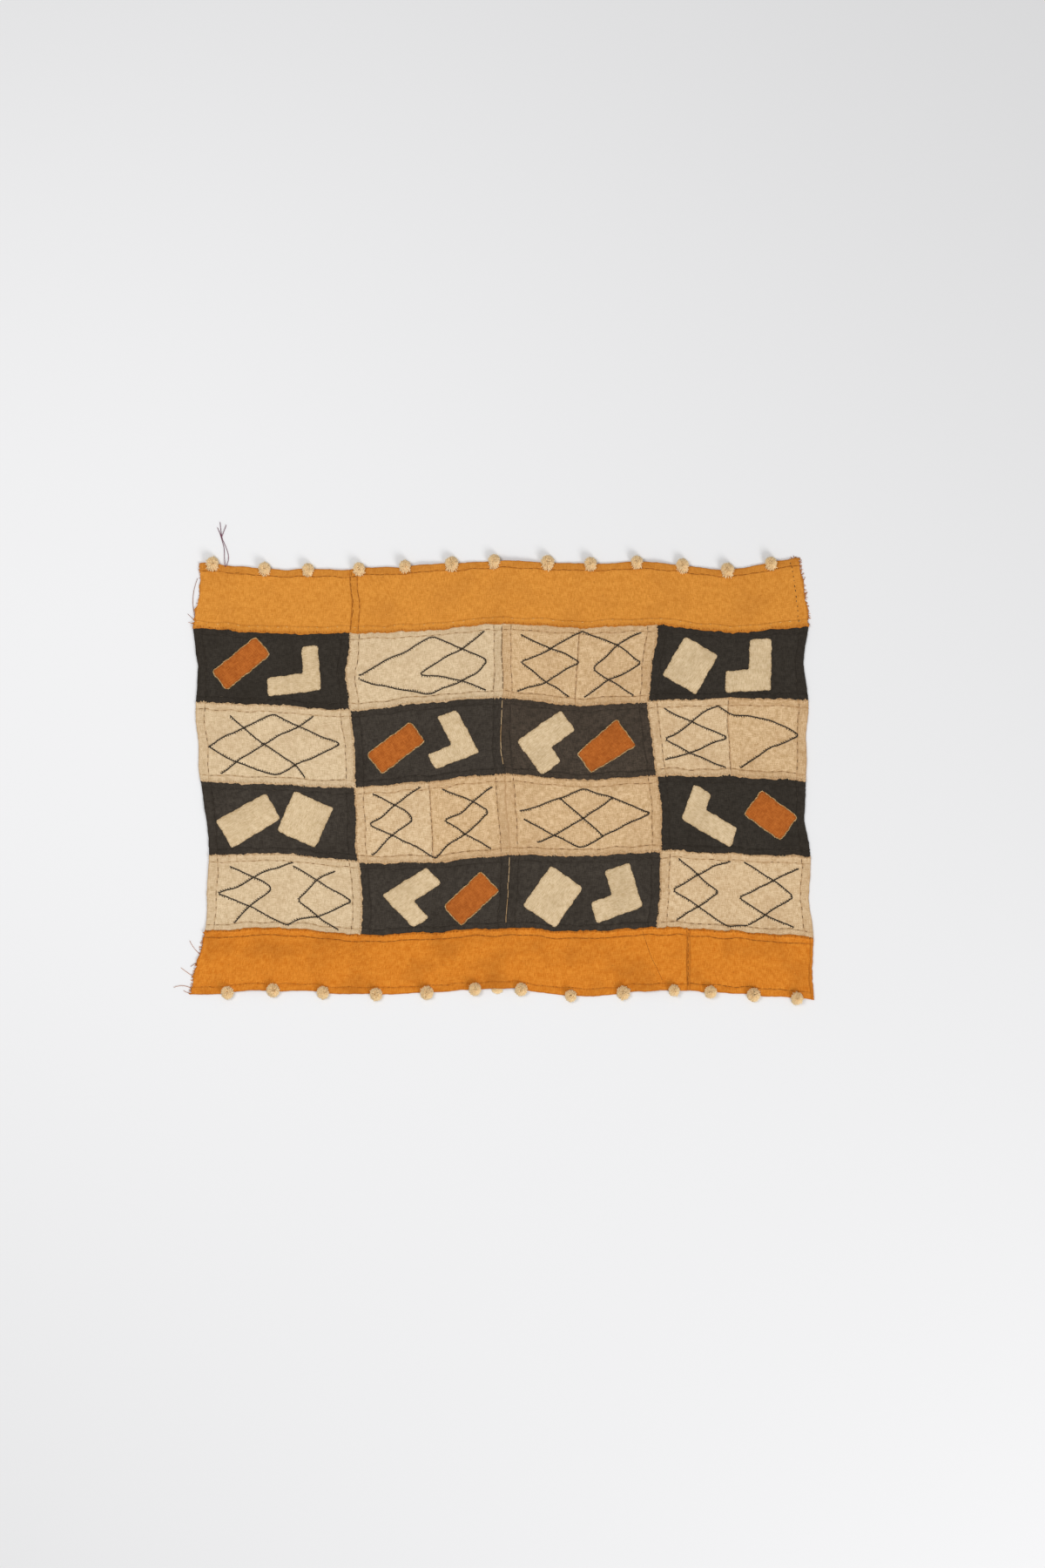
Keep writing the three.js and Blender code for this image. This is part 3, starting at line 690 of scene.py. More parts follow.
# Ochre stain colour, also used as painted shade along stitch lines and seams.
ochre_stain_and_shade = (150, 82, 20)
frayed_nodes = {
    "upper_band_left": ["upper_left_frayed_end"],
    "upper_band_right": ["upper_right_frayed_end"],
    "lower_band_left": ["lower_left_frayed_end"],
    "lower_band_right": [],
}
for node, (outer, inner, frayed, joined, stain_share) in band_lots.items():
    cloth = band_cloth(node, outer, inner, frayed, joined)
    name = "Ochre raffia " + node.replace("_", " ")
    dye = raffia(name, *ochre_lots[outer], ochre_stain_and_shade, stain_share, band_rib)
    cloths[node] = cloth
    rough = {inner: band_roughness, **{end: raw_edge for end in frayed}}
    replaced = [node, *frayed_nodes[node]]
    lapped = {inner: band_lap}
    lay_cloth(node + "_cloth", cloth, dye, replaced, lapped, rough)


# Whip stitches along the seams
# Panels and bands are joined edge over edge with twisted raffia thread. Each stitch goes over the upper
# cloth's edge and bites into the one beneath, so the edges look toothed.

whip_pitch = 0.0029
band_whip_pitch = 0.0036
whip_radius = 0.00042
whip_slant = 0.0008
whip_lift = 0.00035


def thread(name, light, dark):
    """Twisted thread. Each stitch has its own shade between the two colours."""
    material, tree, shader = new_material(name, 0.8, 0.08)
    tone = add_node(tree, "Attribute", attribute_name="tone").outputs["Fac"]
    colour = mix_colours(tree, tone, screen_colour(*dark), screen_colour(*light))
    tree.links.new(colour, shader.inputs["Base Color"])
    return material


def stitch_piece(name, paths, radius, material, tones=None, around=5, nodes=()):
    """Many threads in one piece, none of them below the floor. Every path has the same number of points."""
    paths = np.array(paths)
    paths[..., 2] = np.maximum(paths[..., 2], radius)
    count, length = paths.shape[:2]
    ahead = unit(np.gradient(paths, axis=1))
    heading = paths[:, -1] - paths[:, 0]
    steep = np.abs(heading[:, 2:]) > 0.8 * np.linalg.norm(heading, axis=1, keepdims=True)
    aside = unit(np.cross(ahead, np.where(steep, (1.0, 0.0, 0.0), (0.0, 0.0, 1.0))[:, None, :]))
    above = np.cross(aside, ahead)
    angles = np.arange(around) * 2 * math.pi / around
    ring = np.cos(angles)[:, None] * aside[:, :, None, :] + np.sin(angles)[:, None] * above[:, :, None, :]
    thick = np.broadcast_to(radius, (count, length))[:, :, None, None]
    points = paths[:, :, None, :] + thick * ring
    index = np.arange(count * length * around).reshape(count, length, around)
    beside = np.roll(index, -1, 2)
    skins = np.stack([index[:, :-1], index[:, 1:], beside[:, 1:], beside[:, :-1]], -1)
    faces = [*skins.reshape(-1, 4).tolist(), *index[:, 0].tolist(), *index[:, -1, ::-1].tolist()]
    thing = make_piece(name, points.reshape(-1, 3), faces, material, nodes)
    tones = chance.uniform(0, 1, count) if tones is None else tones
    tones = np.broadcast_to(np.reshape(tones, (count, -1)), (count, length))
    mark_points(thing, "tone", np.repeat(tones.ravel(), around))
    return thing


def on_side(cloth, side, run, inset):
    """Shares across and down for a place some way along a side and in from it."""
    if side in ("upper", "lower"):
        down = inset / cloth.depth
        return run / cloth.width, down if side == "upper" else 1 - down
    across = inset / cloth.width
    return (across if side == "left" else 1 - across), run / cloth.depth


def whip_stitches(cloth, side, pitch, inward, outward):
    """Stitches over an edge, from inside it to beyond it, as rows of four points."""
    length = cloth.width if side in ("upper", "lower") else cloth.depth
    runs = np.arange(pitch, length - pitch / 2, pitch)
    runs = runs + chance.normal(0, 0.3 * pitch, len(runs))
    inner = cloth.face(*on_side(cloth, side, runs, inward * chance.uniform(0.5, 1.4, len(runs))))
    edge = cloth.face(*on_side(cloth, side, runs + whip_slant / 2, np.full(len(runs), 0.0006)))
    rim = cloth.face(*on_side(cloth, side, runs + whip_slant, np.zeros(len(runs))))
    away = rim - inner
    away[:, 2] = 0
    beyond = rim + unit(away) * (outward * chance.uniform(0.2, 1.4, len(runs)))[:, None]
    inner[:, 2] -= 0.0002
    middle = (inner + edge) / 2
    middle[:, 2] += whip_lift + 0.0002
    edge[:, 2] += whip_lift + 0.0003
    beyond[:, 2] -= 0.0009
    return np.stack([inner, middle, edge, beyond], 1)


straw_thread = thread("Straw thread", (218, 188, 146), (176, 140, 98))
straw_whips = [
    whip_stitches(cloths[node], side, whip_pitch, 0.0015, 0.0017)
    for node in straw_panels
    for side in charcoal_neighbours(node)
]
stitch_piece("straw_seam_stitches", np.concatenate(straw_whips), whip_radius, straw_thread)

ochre_thread = thread("Ochre thread", (222, 140, 52), (160, 88, 26))
ochre_whips = [
    whip_stitches(cloths[node], inner, band_whip_pitch, 0.0014, 0.0017)
    for node, (_, inner, *_) in band_lots.items()
]
stitch_piece("band_seam_stitches", np.concatenate(ochre_whips), whip_radius, ochre_thread)


# Hem running stitches
# Every hem is held by a line of uneven running stitches, in tan or brown thread on the straw panels, grey
# on the charcoal ones, and cream, ochre or brown on the bands. Longer stitches lie along the pieced seams.

stitch_length = 0.0062
stitch_gap = 0.0055
stitch_sink = -0.0003
line_wander = 0.00025


def running_stitches(cloth, side, inset, length=stitch_length, gap=stitch_gap, lift=0.00028, uneven=0.2):
    """A line of stitches along a side, as rows of four points."""
    whole = cloth.width if side in ("upper", "lower") else cloth.depth
    runs = np.arange(0.004, whole - length - 0.003, length + gap)
    runs = runs + chance.normal(0, uneven * length, len(runs))
    lengths = length * chance.uniform(1 - 2.5 * uneven, 1 + uneven, len(runs))
    insets = inset + chance.normal(0, line_wander, len(runs))
    insets = insets + cloth.hem_line(side, runs) - cloth.hems.get(side, 0.0)
    rows = []
    for share, rise in ((0.0, stitch_sink), (0.25, lift), (0.75, lift), (1.0, stitch_sink)):
        place = cloth.face(*on_side(cloth, side, runs + lengths * share, insets))
        place[:, 2] += rise
        rows.append(place)
    return np.stack(rows, 1)


hem_thread = thread("Hem thread", (178, 138, 92), (112, 78, 46))
straw_hem_lines = []
dark_hem_lines = []
for node in straw_panels:
    for side, hem in cloths[node].hems.items():
        if hem:
            lines = straw_hem_lines if side in ("upper", "lower") else dark_hem_lines
            lines.append(running_stitches(cloths[node], side, hem))
stitch_piece("straw_hem_stitches", np.concatenate(straw_hem_lines), 0.0004, hem_thread)
dark_hem_thread = thread("Dark hem thread", (136, 104, 70), (82, 62, 44))
dark_hems = np.concatenate(dark_hem_lines)
stitch_piece("straw_side_hem_stitches", dark_hems, 0.0004, dark_hem_thread)

grey_thread = thread("Grey hem thread", (84, 75, 64), (46, 41, 35))
charcoal_hem_lines = [
    running_stitches(cloths[node], side, hem, 0.005, 0.006)
    for node in charcoal_panels
    for side, hem in cloths[node].hems.items()
]
charcoal_hems = np.concatenate(charcoal_hem_lines)
stitch_piece("charcoal_hem_stitches", charcoal_hems, 0.00036, grey_thread)

pale_stitch = thread("Pale band thread", (236, 196, 122), (214, 160, 84))
brown_stitch = thread("Brown band thread", (148, 86, 32), (104, 58, 22))
band_dashes = [
    running_stitches(cloths[node], "lower", 0.0075, 0.003, 0.0117)
    for node in ("upper_band_left", "upper_band_right")
]
stitch_piece("band_hem_stitches", np.concatenate(band_dashes), 0.00042, pale_stitch)
fine_dashes = running_stitches(cloths["lower_band_left"], "lower", outer_hem, 0.003, 0.0024)
stitch_piece("lower_edge_stitches", fine_dashes, 0.0004, ochre_thread)
edge_lines = [
    running_stitches(cloths[node], side, hem, 0.0075, 0.0008, lift=0.00014, uneven=0.1)
    for node, side, hem in (
        ("upper_band_left", "upper", outer_hem),
        ("upper_band_right", "upper", outer_hem),
        ("lower_band_left", "upper", inner_hem),
        ("lower_band_right", "upper", inner_hem),
        ("lower_band_right", "lower", outer_hem),
        ("upper_band_right", "left", 0.011),
        ("upper_band_right", "left", 0.0008),
        ("lower_band_right", "left", 0.0015),
    )
]
stitch_piece("band_edge_stitches", np.concatenate(edge_lines), 0.0003, brown_stitch)
tuck_line = cloths["lower_band_left"].face(np.linspace(0.907, 0.95, 15), np.linspace(0.0, 0.82, 15) ** 0.9)
tuck = [along(tuck_line[k : k + 2], np.linspace(0, 1, 4)) for k in range(14)]
stitch_piece("band_tuck_stitches", tuck, 0.00024, brown_stitch)
end_dots = running_stitches(cloths["upper_band_right"], "right", 0.0132, 0.0026, 0.0045)
stitch_piece("band_end_stitches", end_dots, 0.0005, dark_hem_thread)

centre_lines = [
    running_stitches(cloths[node], "right", 0.0003, 0.012, 0.0003, lift=0.0008, uneven=0.04)
    for node in ("panel_r2_c2", "panel_r4_c2")
]
stitch_piece("centre_seam_threads", np.concatenate(centre_lines), 0.00055, straw_thread)
dark_centre = cloths["panel_r1_c2"]
centre_dark = running_stitches(dark_centre, "right", 0.0004, 0.009, 0.0008, lift=0.0006, uneven=0.06)
stitch_piece("centre_seam_dark_thread", centre_dark, 0.00045, dark_hem_thread)
pieced_lines = [
    running_stitches(cloths[node], "right", 0.0004, 0.007, 0.001, uneven=0.12)
    for node in straw_panels
    if node.endswith("_left")
]
stitch_piece("pieced_seam_stitches", np.concatenate(pieced_lines), 0.00032, dark_hem_thread)


# Embroidery
# Each straw panel carries lines in black raffia: a couched cord of two strands, with a short stitch to one
# side every few millimetres that holds it down. The lines cross as interlaced lozenges.

cord_radius = 0.00085
cord_stitch = 0.0048
tick_pitch = 0.0037
tick_length = 0.0023
tick_radius = 0.0006
tick_lean = 0.0011
turn_ease = 0.004
panel_size = np.array([0.225, 0.112])
line_step = 0.0012
hand_wander = 0.00022
tick_sight = 0.002

# The turning points of each line, in hundredths across and down its panel, noted from the photo and rounded
charts = {
    "panel_r1_c2": [
        "8 55, 54 10, 74 30, 90 50, 84 65, 74 75, 60 85, 52 90, 18 70, 8 60",
        "88 10, 74 30, 50 55, 46 60, 74 75, 90 90",
    ],
    "panel_r1_c3": [
        "12 15, 32 30, 42 35, 52 45, 42 55, 30 75, 10 90",
        "52 5, 32 30, 20 45, 12 50, 30 75, 46 90",
        "52 5, 76 25, 94 50, 72 70, 56 90",
        "90 10, 76 25, 60 55, 72 70, 90 90",
    ],
    "panel_r2_c1": [
        "22 15, 30 30, 42 50, 62 75, 68 90",
        "76 10, 66 25, 42 50, 24 75, 14 90",
        "6 55, 30 30, 50 10, 66 25, 92 45, 62 75, 50 90, 24 75, 6 55",
    ],
    "panel_r2_c4": [
        "10 10, 26 30, 50 50, 24 70, 6 80",
        "44 10, 36 15, 26 30, 16 45, 8 50, 24 70, 46 90",
        "44 10, 52 20, 74 25, 88 35, 96 45, 74 65, 56 90",
    ],
    "panel_r3_c2": [
        "44 5, 26 25, 18 40, 8 50, 24 65, 52 95",
        "12 10, 26 25, 34 35, 38 45, 24 65, 10 90",
        "92 15, 78 30, 68 45, 58 50, 72 70, 88 90",
        "58 10, 68 20, 78 30, 88 45, 72 70, 60 80, 52 95",
    ],
    "panel_r3_c3": [
        "8 45, 18 40, 36 25, 52 10, 70 25, 94 50, 74 65, 62 75, 48 90, 30 75, 10 55",
        "36 25, 50 50, 62 75",
        "70 25, 50 50, 30 75, 18 85",
    ],
    "panel_r4_c1": [
        "14 15, 30 30, 36 35, 42 45, 28 70, 18 90",
        "56 10, 36 25, 30 30, 18 45, 6 50, 28 70, 52 95, 56 90",
        "56 15, 72 30, 94 55, 72 80, 64 85, 56 90",
        "84 15, 72 30, 58 60, 72 80, 86 95",
    ],
    "panel_r4_c4": [
        "12 10, 26 30, 40 50, 26 70, 12 90",
        "46 10, 36 15, 26 30, 8 50, 26 70, 46 95, 58 90",
        "56 10, 76 30, 90 50, 70 75, 58 90",
        "92 15, 76 30, 64 45, 52 55, 70 75, 88 90",
    ],
}


def panel_face(panel, across, down):
    """Places on a panel's upper face. A pieced panel's two scraps share it, half and half."""
    if panel in cloths:
        return cloths[panel].face(across, down)
    left = cloths[panel + "_left"].face(np.clip(across * 2, 0, 1), down)
    right = cloths[panel + "_right"].face(np.clip(across * 2 - 1, 0, 1), down)
    return np.where((across < 0.5)[:, None], left, right)


def cut_corners(turns, ease):
    """A line with each turn replaced by two, at a share of the way from turn to turn."""
    before, after = turns[:-1], turns[1:]
    cut = np.concatenate([before * (1 - ease) + after * ease, before * ease + after * (1 - ease)], 1)
    return np.vstack([turns[:1], cut.reshape(-1, 2), turns[-1:]])


def drawn_line(panel, chart):
    """A chart line, its turns eased by cutting corners, as close-set places on the panel."""
    turns = np.array([[float(share) / 100 for share in pair.split()] for pair in chart.split(", ")])
    reach = np.linalg.norm(np.diff(turns * panel_size, axis=0), axis=1)[:, None]
    turns = cut_corners(turns, np.minimum(turn_ease / reach, 0.3))
    rough = panel_face(panel, turns[:, 0], turns[:, 1])
    count = max(8, round(run_length(rough) / line_step))
    places = along(np.column_stack([turns * panel_size, np.zeros(len(turns))]), np.linspace(0, 1, count))
    shares = places[:, :2] / panel_size + chance.normal(0, hand_wander, (count, 2)) / panel_size
    return panel_face(panel, *np.clip(shares.T, 0, 1))


cords, ticks = [], []
for panel, lines in charts.items():
    for chart in lines:
        line = drawn_line(panel, chart)
        length = run_length(line)
        starts = np.arange(0, length - cord_stitch * 0.6, cord_stitch)
        stops = np.minimum(starts + cord_stitch * 1.12, length)
        rows = []
        for share, rise in ((0.0, 0.0001), (0.3, 0.0006), (0.7, 0.0006), (1.0, 0.0001)):
            place = along(line, (starts + (stops - starts) * share) / length)
            place[:, 2] += rise
            rows.append(place)
        cords.append(np.stack(rows, 1))
        marks = np.arange(tick_pitch / 2, length, tick_pitch) / length
        foot = along(line, marks)
        sight = tick_sight / length
        ahead = along(line, np.minimum(marks + sight, 1)) - along(line, np.maximum(marks - sight, 0))
        aside = unit(np.stack([ahead[:, 1], -ahead[:, 0], np.zeros(len(marks))], 1))
        lean = unit(ahead) * tick_lean
        reach = tick_length * chance.uniform(0.55, 1.25, len(marks))[:, None]
        rise = np.array([0.0, 0.0, 1.0])
        ticks.append(np.stack([
            foot - aside * 0.0006 + rise * 0.0006,
            foot + aside * reach * 0.5 + lean * 0.5 + rise * 0.0005,
            foot + aside * reach + lean - rise * 0.0002,
        ], 1))
black_thread = thread("Black embroidery raffia", (74, 64, 55), (36, 31, 26))
stitch_piece("embroidery_cords", np.concatenate(cords), cord_radius, black_thread, around=6)
stitch_piece("embroidery_stitches", np.concatenate(ticks), tick_radius, black_thread)


# Patches
# Bars, squares and elbows of rust-dyed or straw raffia are sewn on the charcoal panels. Rust ones have
# close cream stitches round the rim that lie like a rope, straw ones sparse stitches of a duller straw.

patch_thickness = 0.0011
patch_step = 0.003
patch_clearance = 0.00012
patch_rib = 0.5
rim_step = 0.0016
rim_clear = 0.0022
rim_round = 0.0018
rim_wave = 0.00026
rim_waves = (5, 9, 14, 23)
rim_roughness = 0.0001
rim_sight = 0.003
patch_edge_angle = math.radians(60)
# Pitch, reach over the rim and advance along it
rim_stitches = {"rust_patch": (0.0022, 0.0007, 0.0026), "straw_patch": (0.0052, 0.0007, 0.0006)}

# The third colour is for stains and also for the painted shade at the rim.
rust_raffia = raffia("Rust raffia", (196, 111, 45), (162, 83, 26), (110, 52, 14), 0.3)
straw_patch_raffia = raffia(
    "Straw patch raffia", (231, 206, 168), (202, 175, 134), (150, 122, 80), 0.25, patch_rib
)
cream_thread = thread("Cream rim thread", (228, 196, 142), (182, 142, 88))
dull_thread = thread("Straw rim thread", (190, 160, 118), (104, 82, 56))


def distance_to(points, outline):
    """How far places are from a closed outline, seen from above."""
    start, end = outline[None, :, :2], np.roll(outline, -1, 0)[None, :, :2]
    gap = points[:, None, :2] - start
    side = end - start
    share = np.clip((gap * side).sum(-1) / (side * side).sum(-1), 0, 1)
    return np.linalg.norm(gap - share[..., None] * side, axis=-1).min(1)


def patch_places(outline):
    """Places over a patch, and its faces: the outline, a row just inside it, and a grid."""
    low, high = outline[:, :2].min(0), outline[:, :2].max(0)
    lines = [np.arange(start, stop, patch_step) for start, stop in zip(low, high)]
    grid = np.stack(np.meshgrid(*lines), -1).reshape(-1, 2)
    grid = grid + chance.uniform(-0.0004, 0.0004, grid.shape)
    grid = grid[distance_to(grid, outline) > rim_clear]
    places = [Vector(point) for point in [*outline[:, :2].tolist(), *grid.tolist()]]
    ring = [(k, (k + 1) % len(outline)) for k in range(len(outline))]
    found = geometry.delaunay_2d_cdt(places, ring, [], 1, 1e-7)
    return np.array([tuple(point) for point in found[0]]), [list(face) for face in found[2]]


def own_sides(outline):
    """The directions along a patch's longer and shorter side, as the smallest box round it lies."""
    def box_size(sides):
        return np.ptp(outline[:, :2] @ sides.T, axis=0)

    angles = np.radians(np.arange(90))
    turned = [np.array([[math.cos(a), math.sin(a)], [-math.sin(a), math.cos(a)]]) for a in angles]
    sides = min(turned, key=lambda sides: np.prod(box_size(sides)))
    size = box_size(sides)
    return (sides, size) if size[0] > size[1] else (sides[::-1], size[::-1])


def patch_face(cloth, x, y, outline):
    """Places on a patch's upper face, which follows the panel and falls away at the rim."""
    ground = cloth.face(*cloth.locate(x, y))
    inset = distance_to(ground, outline)
    ground[:, 0], ground[:, 1] = x, y
    ground[:, 2] += patch_clearance + patch_thickness * (0.35 + 0.65 * fade(inset / rim_round))
    ground[:, 2] -= 0.0003 * np.exp(-(((inset - 0.0025) / 0.001) ** 2))
    return ground, inset


rims = {"rust_patch": [], "straw_patch": []}
for node, slot in slots.items():
    if not slot.endswith("_patch"):
        continue
    panel = "panel_" + node.split("_", 2)[2]
    cloth = cloths[panel]
    corners = underside_outline(node)
    closed = np.vstack([corners, corners[:1]])
    outline = along(closed, np.arange(0, 1, rim_step / run_length(closed)))
    outward = np.roll(outline, -1, 0) - np.roll(outline, 1, 0)
    outward = unit(np.stack([outward[:, 1], -outward[:, 0], np.zeros(len(outline))], 1))
    sway = np.arange(len(outline)) / len(outline) * 2 * math.pi
    waves = sum(np.sin(k * sway + start) for k, start in zip(rim_waves, chance.uniform(0, 6, 4)))
    push = rim_wave * waves + chance.normal(0, rim_roughness, len(outline))
    outline = outline + outward * push[:, None]
    flat, upper_faces = patch_places(outline)
    upper, inset = patch_face(cloth, flat[:, 0], flat[:, 1], outline)
    under = upper.copy()
    under[:, 2] -= patch_thickness * (0.3 + 0.65 * fade(inset / rim_round))
    count = len(upper)
    if np.cross(*(flat[upper_faces[0][k]] - flat[upper_faces[0][0]] for k in (1, 2))) < 0:
        upper_faces = [face[::-1] for face in upper_faces]
    under_faces = [[k + count for k in face[::-1]] for face in upper_faces]
    rim = list(range(len(outline)))
    rim_faces = [[b, a, a + count, b + count] for a, b in zip(rim, rim[1:] + rim[:1])]
    material = rust_raffia if slot == "rust_patch" else straw_patch_raffia
    points = np.concatenate([upper, under])
    faces = upper_faces + under_faces + rim_faces
    thing = make_piece("sewn_" + node, points, faces, material, [node])
    sides, size = own_sides(outline)
    weave = flat @ sides[::-1].T + chance.uniform(0, 5, 2)
    mark_weave(thing, np.concatenate([weave, weave]))
    # Painted shade just inside the patch's rim, toward the stain colour.
    mark_points(thing, "shade_and_hem_tint", np.tile(0.4 * np.clip(1 - inset / 0.0011, 0, 1), 2))
    thing.data.set_sharp_from_angle(angle=patch_edge_angle)
    pitch, reach, advance = rim_stitches[slot]
    length = run_length(closed)
    shares = np.arange(0, 1 - 2 * pitch / length, pitch / length)
    shares = shares + chance.uniform(0, 0.35 * pitch / length, len(shares))
    rim_closed = np.vstack([outline, outline[:1]])
    rows = []
    for share, rise in ((0.0, 0.00005), (0.35, 0.00055), (0.65, 0.00055), (1.0, -0.0001)):
        foot = along(rim_closed, shares + share * advance / length)
        side = along(rim_closed, np.minimum(shares + rim_sight / length, 1)) - along(rim_closed, shares)
        side = unit(np.stack([side[:, 1], -side[:, 0], np.zeros(len(shares))], 1))
        spot = foot + side * (reach * (2 * share - 1.15) * chance.uniform(0.8, 1.2, len(shares)))[:, None]
        if share < 0.6:
            place, _ = patch_face(cloth, spot[:, 0], spot[:, 1], outline)
        else:
            place = cloth.face(*cloth.locate(spot[:, 0], spot[:, 1]))
            place[:, 2] += patch_thickness * 0.45 * (share < 0.9)
        place[:, 2] += rise
        rows.append(place)
    rims[slot].append(np.stack(rows, 1))
rim_threads = {"rust_patch": (0.00042, cream_thread), "straw_patch": (0.0004, dull_thread)}
for slot, (radius, rim_thread) in rim_threads.items():
    stitch_piece(slot + "_stitches", np.concatenate(rims[slot]), radius, rim_thread)


# Pompoms
# Thirteen pompoms are sewn along each outer edge: a bundle of undyed raffia strands tied at the middle,
# fluffed into a ball and trimmed. On the upper edge the longer strands hang down over the band.

head_strands = 560
skirt_strands = 60
pompom_radius = 0.0093
strand_radius = 0.0005
strand_bend = 0.0007
strand_floor = 0.0012
strand_taper = np.array([1.9, 1.4, 1.1])
# Painted shade: each strand is darker toward its root, deep in the ball, and lightest at its tip.
strand_root_shade = np.array([0.4, 0.8, 1.0])
heap_height = 0.006
heap_gap = 0.02
pompom_thread = thread("Pompom raffia", (255, 228, 180), (238, 198, 144))


def pompom_places(node):
    """The middle and the height of each pompom on an edge strip, found from the heaps on it."""
    mesh = frame["nodes"][node].data
    points = np.empty(len(mesh.vertices) * 3, np.float32)
    mesh.vertices.foreach_get("co", points)
    points = points.reshape(-1, 3)
    heaps = points[points[:, 2] > heap_height]
    heaps = heaps[np.argsort(heaps[:, 0])]
    found = []
    for heap in np.split(heaps, np.flatnonzero(np.diff(heaps[:, 0]) > heap_gap) + 1):
        low, high = heap.min(0), heap.max(0)
        found.append(((low[0] + high[0]) / 2, (low[1] + high[1]) / 2, high[2]))
    return found


def curved_strands(middle, out, reach, sag):
    """Strands from near the middle outwards that sag to their tips, as rows of three points."""
    rows = []
    bend = chance.normal(0, strand_bend, out.shape)
    for share in (0.3, 0.7, 1.0):
        place = middle + out * (reach * share)[:, None]
        place[:, 2] -= sag * share**2
        rows.append(place + bend * share**2)
    strands = np.stack(rows, 1)
    strands[..., 2] = np.maximum(strands[..., 2], strand_floor)
    return strands


def pompom_strands(place, skirt):
    """One pompom: a ball of short strands, and a skirt of longer ones towards the near side."""
    radius = pompom_radius * chance.uniform(0.84, 1.04)
    middle = np.array([place[0], place[1], place[2] - radius - 0.0004])
    turn = np.arange(head_strands) * math.pi * (3 - math.sqrt(5)) + chance.uniform(0, 6)
    rise = np.linspace(1, -0.4, head_strands)
    level = np.sqrt(1 - rise * rise)
    out = np.stack([np.cos(turn) * level, np.sin(turn) * level, rise], 1)
    out = unit(out + chance.normal(0, 0.12, out.shape))
    head = curved_strands(middle, out, radius * chance.uniform(0.94, 1.03, head_strands), 0.0006)
    angles = np.radians(chance.uniform(-145, -35, skirt_strands))
    out = np.stack([np.cos(angles), np.sin(angles), chance.uniform(-0.25, 0.5, skirt_strands)], 1)
    reach = radius * (1.0 + skirt * chance.uniform(0.15, 0.5, skirt_strands) * -np.sin(angles))
    return np.concatenate([head, curved_strands(middle, out, reach, 0.0035)])


for edge, skirt, overhang in (("upper", 1.0, 0.0035), ("lower", 0.4, -0.0022)):
    node = edge + "_edge_with_pompoms"
    places = [(x, y + overhang + drawn_edge(edge, x), top) for x, y, top in pompom_places(node)]
    bundles = np.concatenate([pompom_strands(place, skirt) for place in places])
    # A random tone for each strand, times the painted shade toward its root.
    tones = strand_root_shade * chance.uniform(0.6, 1.0, len(bundles))[:, None]
    thick = strand_radius * strand_taper
    stitch_piece(edge + "_pompoms", bundles, thick, pompom_thread, tones, 3, [node])


# Frayed ends and loose threads
# The raw band ends have shed their cross threads, so stubs of ochre warp stick out with a few long pulled
# threads. A doubled plum sewing thread was left hanging from the upper left hem.

fray_radius = 0.0005
fray_height = 0.0006
fray_root = 0.002
loose_root = 0.003
root_drop = 0.0004
thread_points = 8


def pulled_thread(root, heading, turn, length):
    """A thread lying on the floor that bends evenly, as a row of points."""
    steps = np.linspace(0, 1, thread_points)
    angles = np.radians(heading + turn * steps)
    path = np.cumsum(np.stack([np.cos(angles), np.sin(angles)], 1) * length / (thread_points - 1), 0)
    path = np.column_stack([path - path[0], np.zeros(thread_points)]) + root
    path[:, 2] = root[2] * (1 - fade(steps * 3)) + fray_height * fade(steps * 3)
    return path


def end_share(cloth, end, inset):
    return inset / cloth.width if end == "left" else 1 - inset / cloth.width


def stubs(cloth, end, count, low, high, spread):
    """Short thread ends along a raw end."""
    outward = 180.0 if end == "left" else 0.0
    found = []
    for share in np.sort(chance.uniform(0.01, 0.99, count)):
        root = cloth.face(end_share(cloth, end, fray_root), share)
        root[2] -= root_drop
        heading = outward + chance.normal(0, spread)
        turn = chance.normal(0, 20)
        found.append(pulled_thread(root, heading, turn, fray_root + chance.uniform(low, high)))
    return found


fray_thread = thread("Frayed ochre thread", (214, 134, 52), (150, 84, 28))
frays = [
    *stubs(cloths["upper_band_left"], "left", 22, 0.0006, 0.002, 14),
    *stubs(cloths["upper_band_right"], "right", 60, 0.001, 0.0052, 20),
    *stubs(cloths["lower_band_left"], "left", 58, 0.001, 0.0046, 16),
]
right_band = cloths["upper_band_right"]
corner = right_band.face(end_share(right_band, "right", loose_root), 0.03)
for heading in chance.normal(75, 40, 24):
    root = corner + (*chance.uniform((-0.009, -0.004), (0.001, 0.001)), 0.0)
    frays.append(pulled_thread(root, heading, chance.normal(0, 25), chance.uniform(0.004, 0.0085)))
fray_radii = fray_radius * np.linspace(1, 0.6, thread_points)
stitch_piece("frayed_thread_ends", frays, fray_radii, fray_thread)

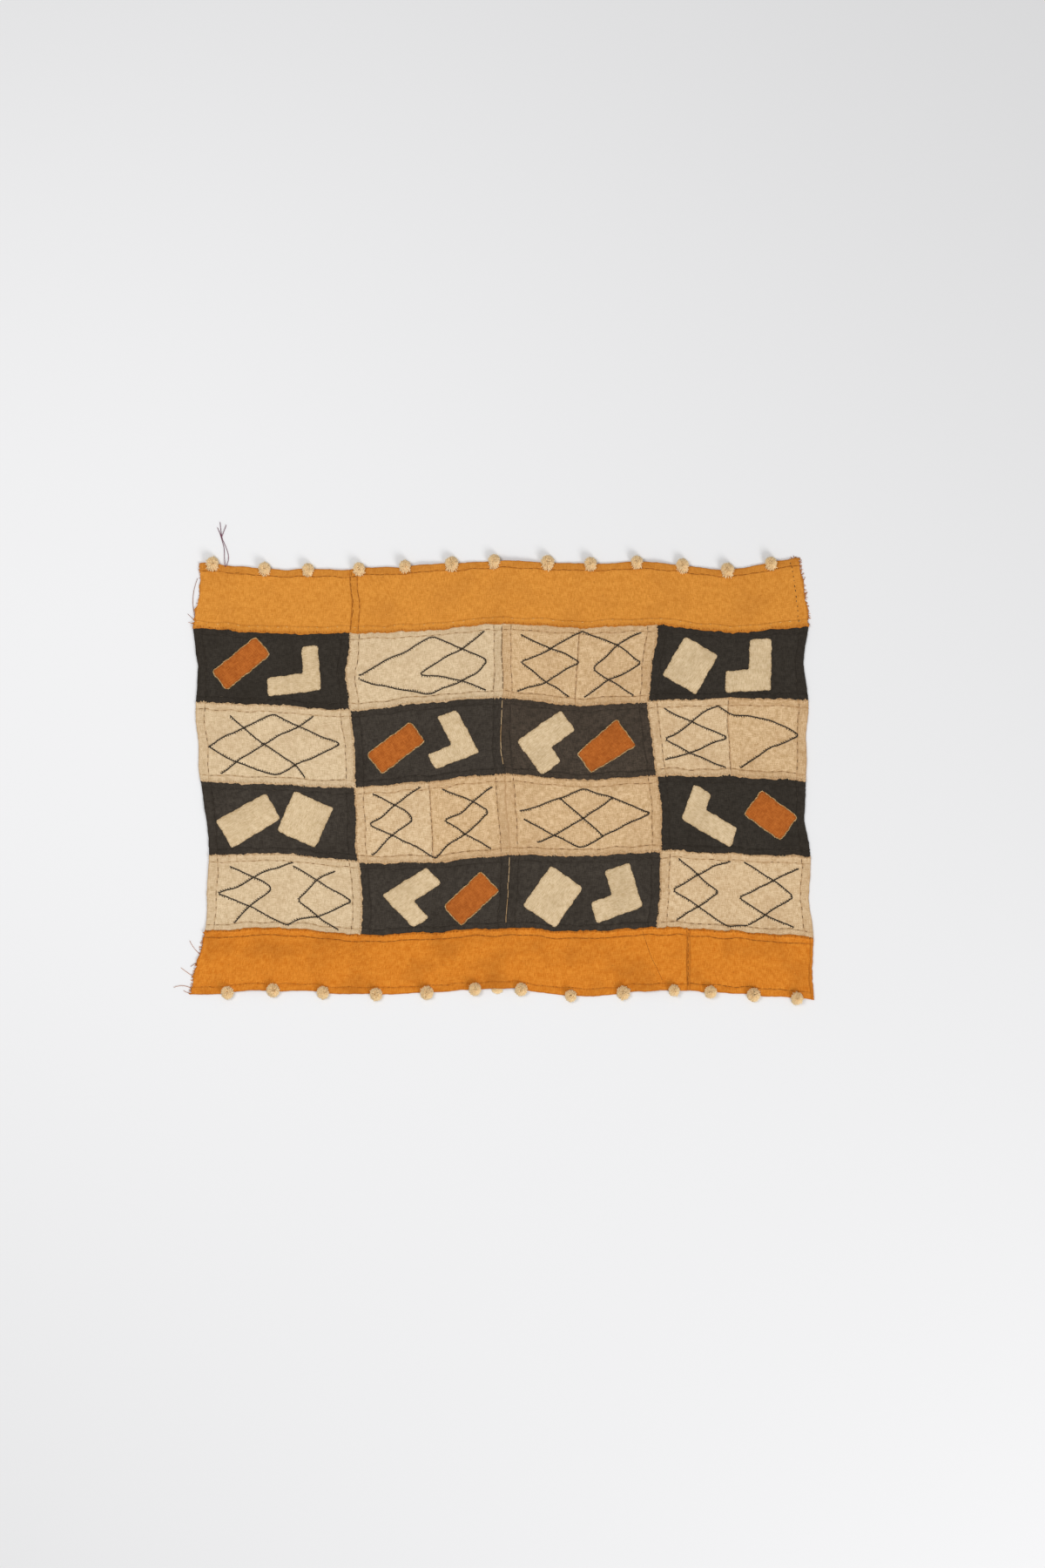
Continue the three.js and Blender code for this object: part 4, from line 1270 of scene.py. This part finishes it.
# Share down the raw end, length, heading in degrees and how far the tip has turned from it
loose_threads = {
    "upper_band_left": [(0.93, 0.015, 128, 10), (0.9, 0.062, 112, -42), (0.97, 0.009, 150, 15)],
    "upper_band_right": [
        (0.1, 0.007, 40, 20),
        (0.28, 0.014, 62, 35),
        (0.36, 0.008, 20, 50),
        (0.55, 0.005, 25, 0),
    ],
    "lower_band_left": [
        (0.38, 0.026, 146, -30),
        (0.47, 0.013, 196, 25),
        (0.74, 0.023, 150, -8),
        (0.93, 0.028, 138, 62),
        (0.985, 0.012, 190, -45),
    ],
}
loose = []
for node, threads in loose_threads.items():
    cloth = cloths[node]
    root_share = end_share(cloth, node.split("_")[-1], loose_root)
    for share, length, heading, turn in threads:
        root = cloth.face(root_share, share)
        root[2] -= root_drop
        loose.append(pulled_thread(root, heading, turn, length + loose_root))
loose_thread = thread("Loose red-brown thread", (186, 116, 66), (128, 70, 40))
loose_radii = 0.00042 * np.linspace(1, 0.7, thread_points)
stitch_piece("loose_pulled_threads", loose, loose_radii, loose_thread)

plum_thread = thread("Plum sewing thread", (132, 78, 96), (92, 50, 64))
plum_root = cloths["upper_band_left"].face(0.167, 0.02)
plum_turns = [
    [(0, 0), (-0.0009, 0.0136), (-0.0009, 0.028), (-0.0048, 0.041), (-0.0087, 0.054)],
    [(0.001, 0), (0.0069, 0.0136), (0.0004, 0.033), (-0.0048, 0.042), (-0.0074, 0.067)],
    [(-0.0052, 0.044), (-0.003, 0.05), (-0.0012, 0.055), (0.0006, 0.059), (0.0017, 0.063)],
    [(-0.0052, 0.044), (-0.0062, 0.049), (-0.0086, 0.052), (-0.01, 0.056), (-0.0113, 0.059)],
]


def eased_thread(turns, root):
    """A thread lying on the floor from one turn to the next, as a row of fourteen points."""
    turns = np.array(turns)
    for _ in range(3):
        turns = cut_corners(turns, 0.25)
    path = along(np.column_stack([turns, np.zeros(len(turns))]), np.linspace(0, 1, 14)) + root
    path[:, 2] = np.where(turns[0, 1] > 0, fray_height, root[2])
    path[:, 2] = fray_height + (path[:, 2] - fray_height) * (1 - fade(np.linspace(0, 4, 14)))
    return path


plum = [eased_thread(turns, plum_root) for turns in plum_turns]
stitch_piece("left_plum_sewing_thread", plum, 0.00045, plum_thread)
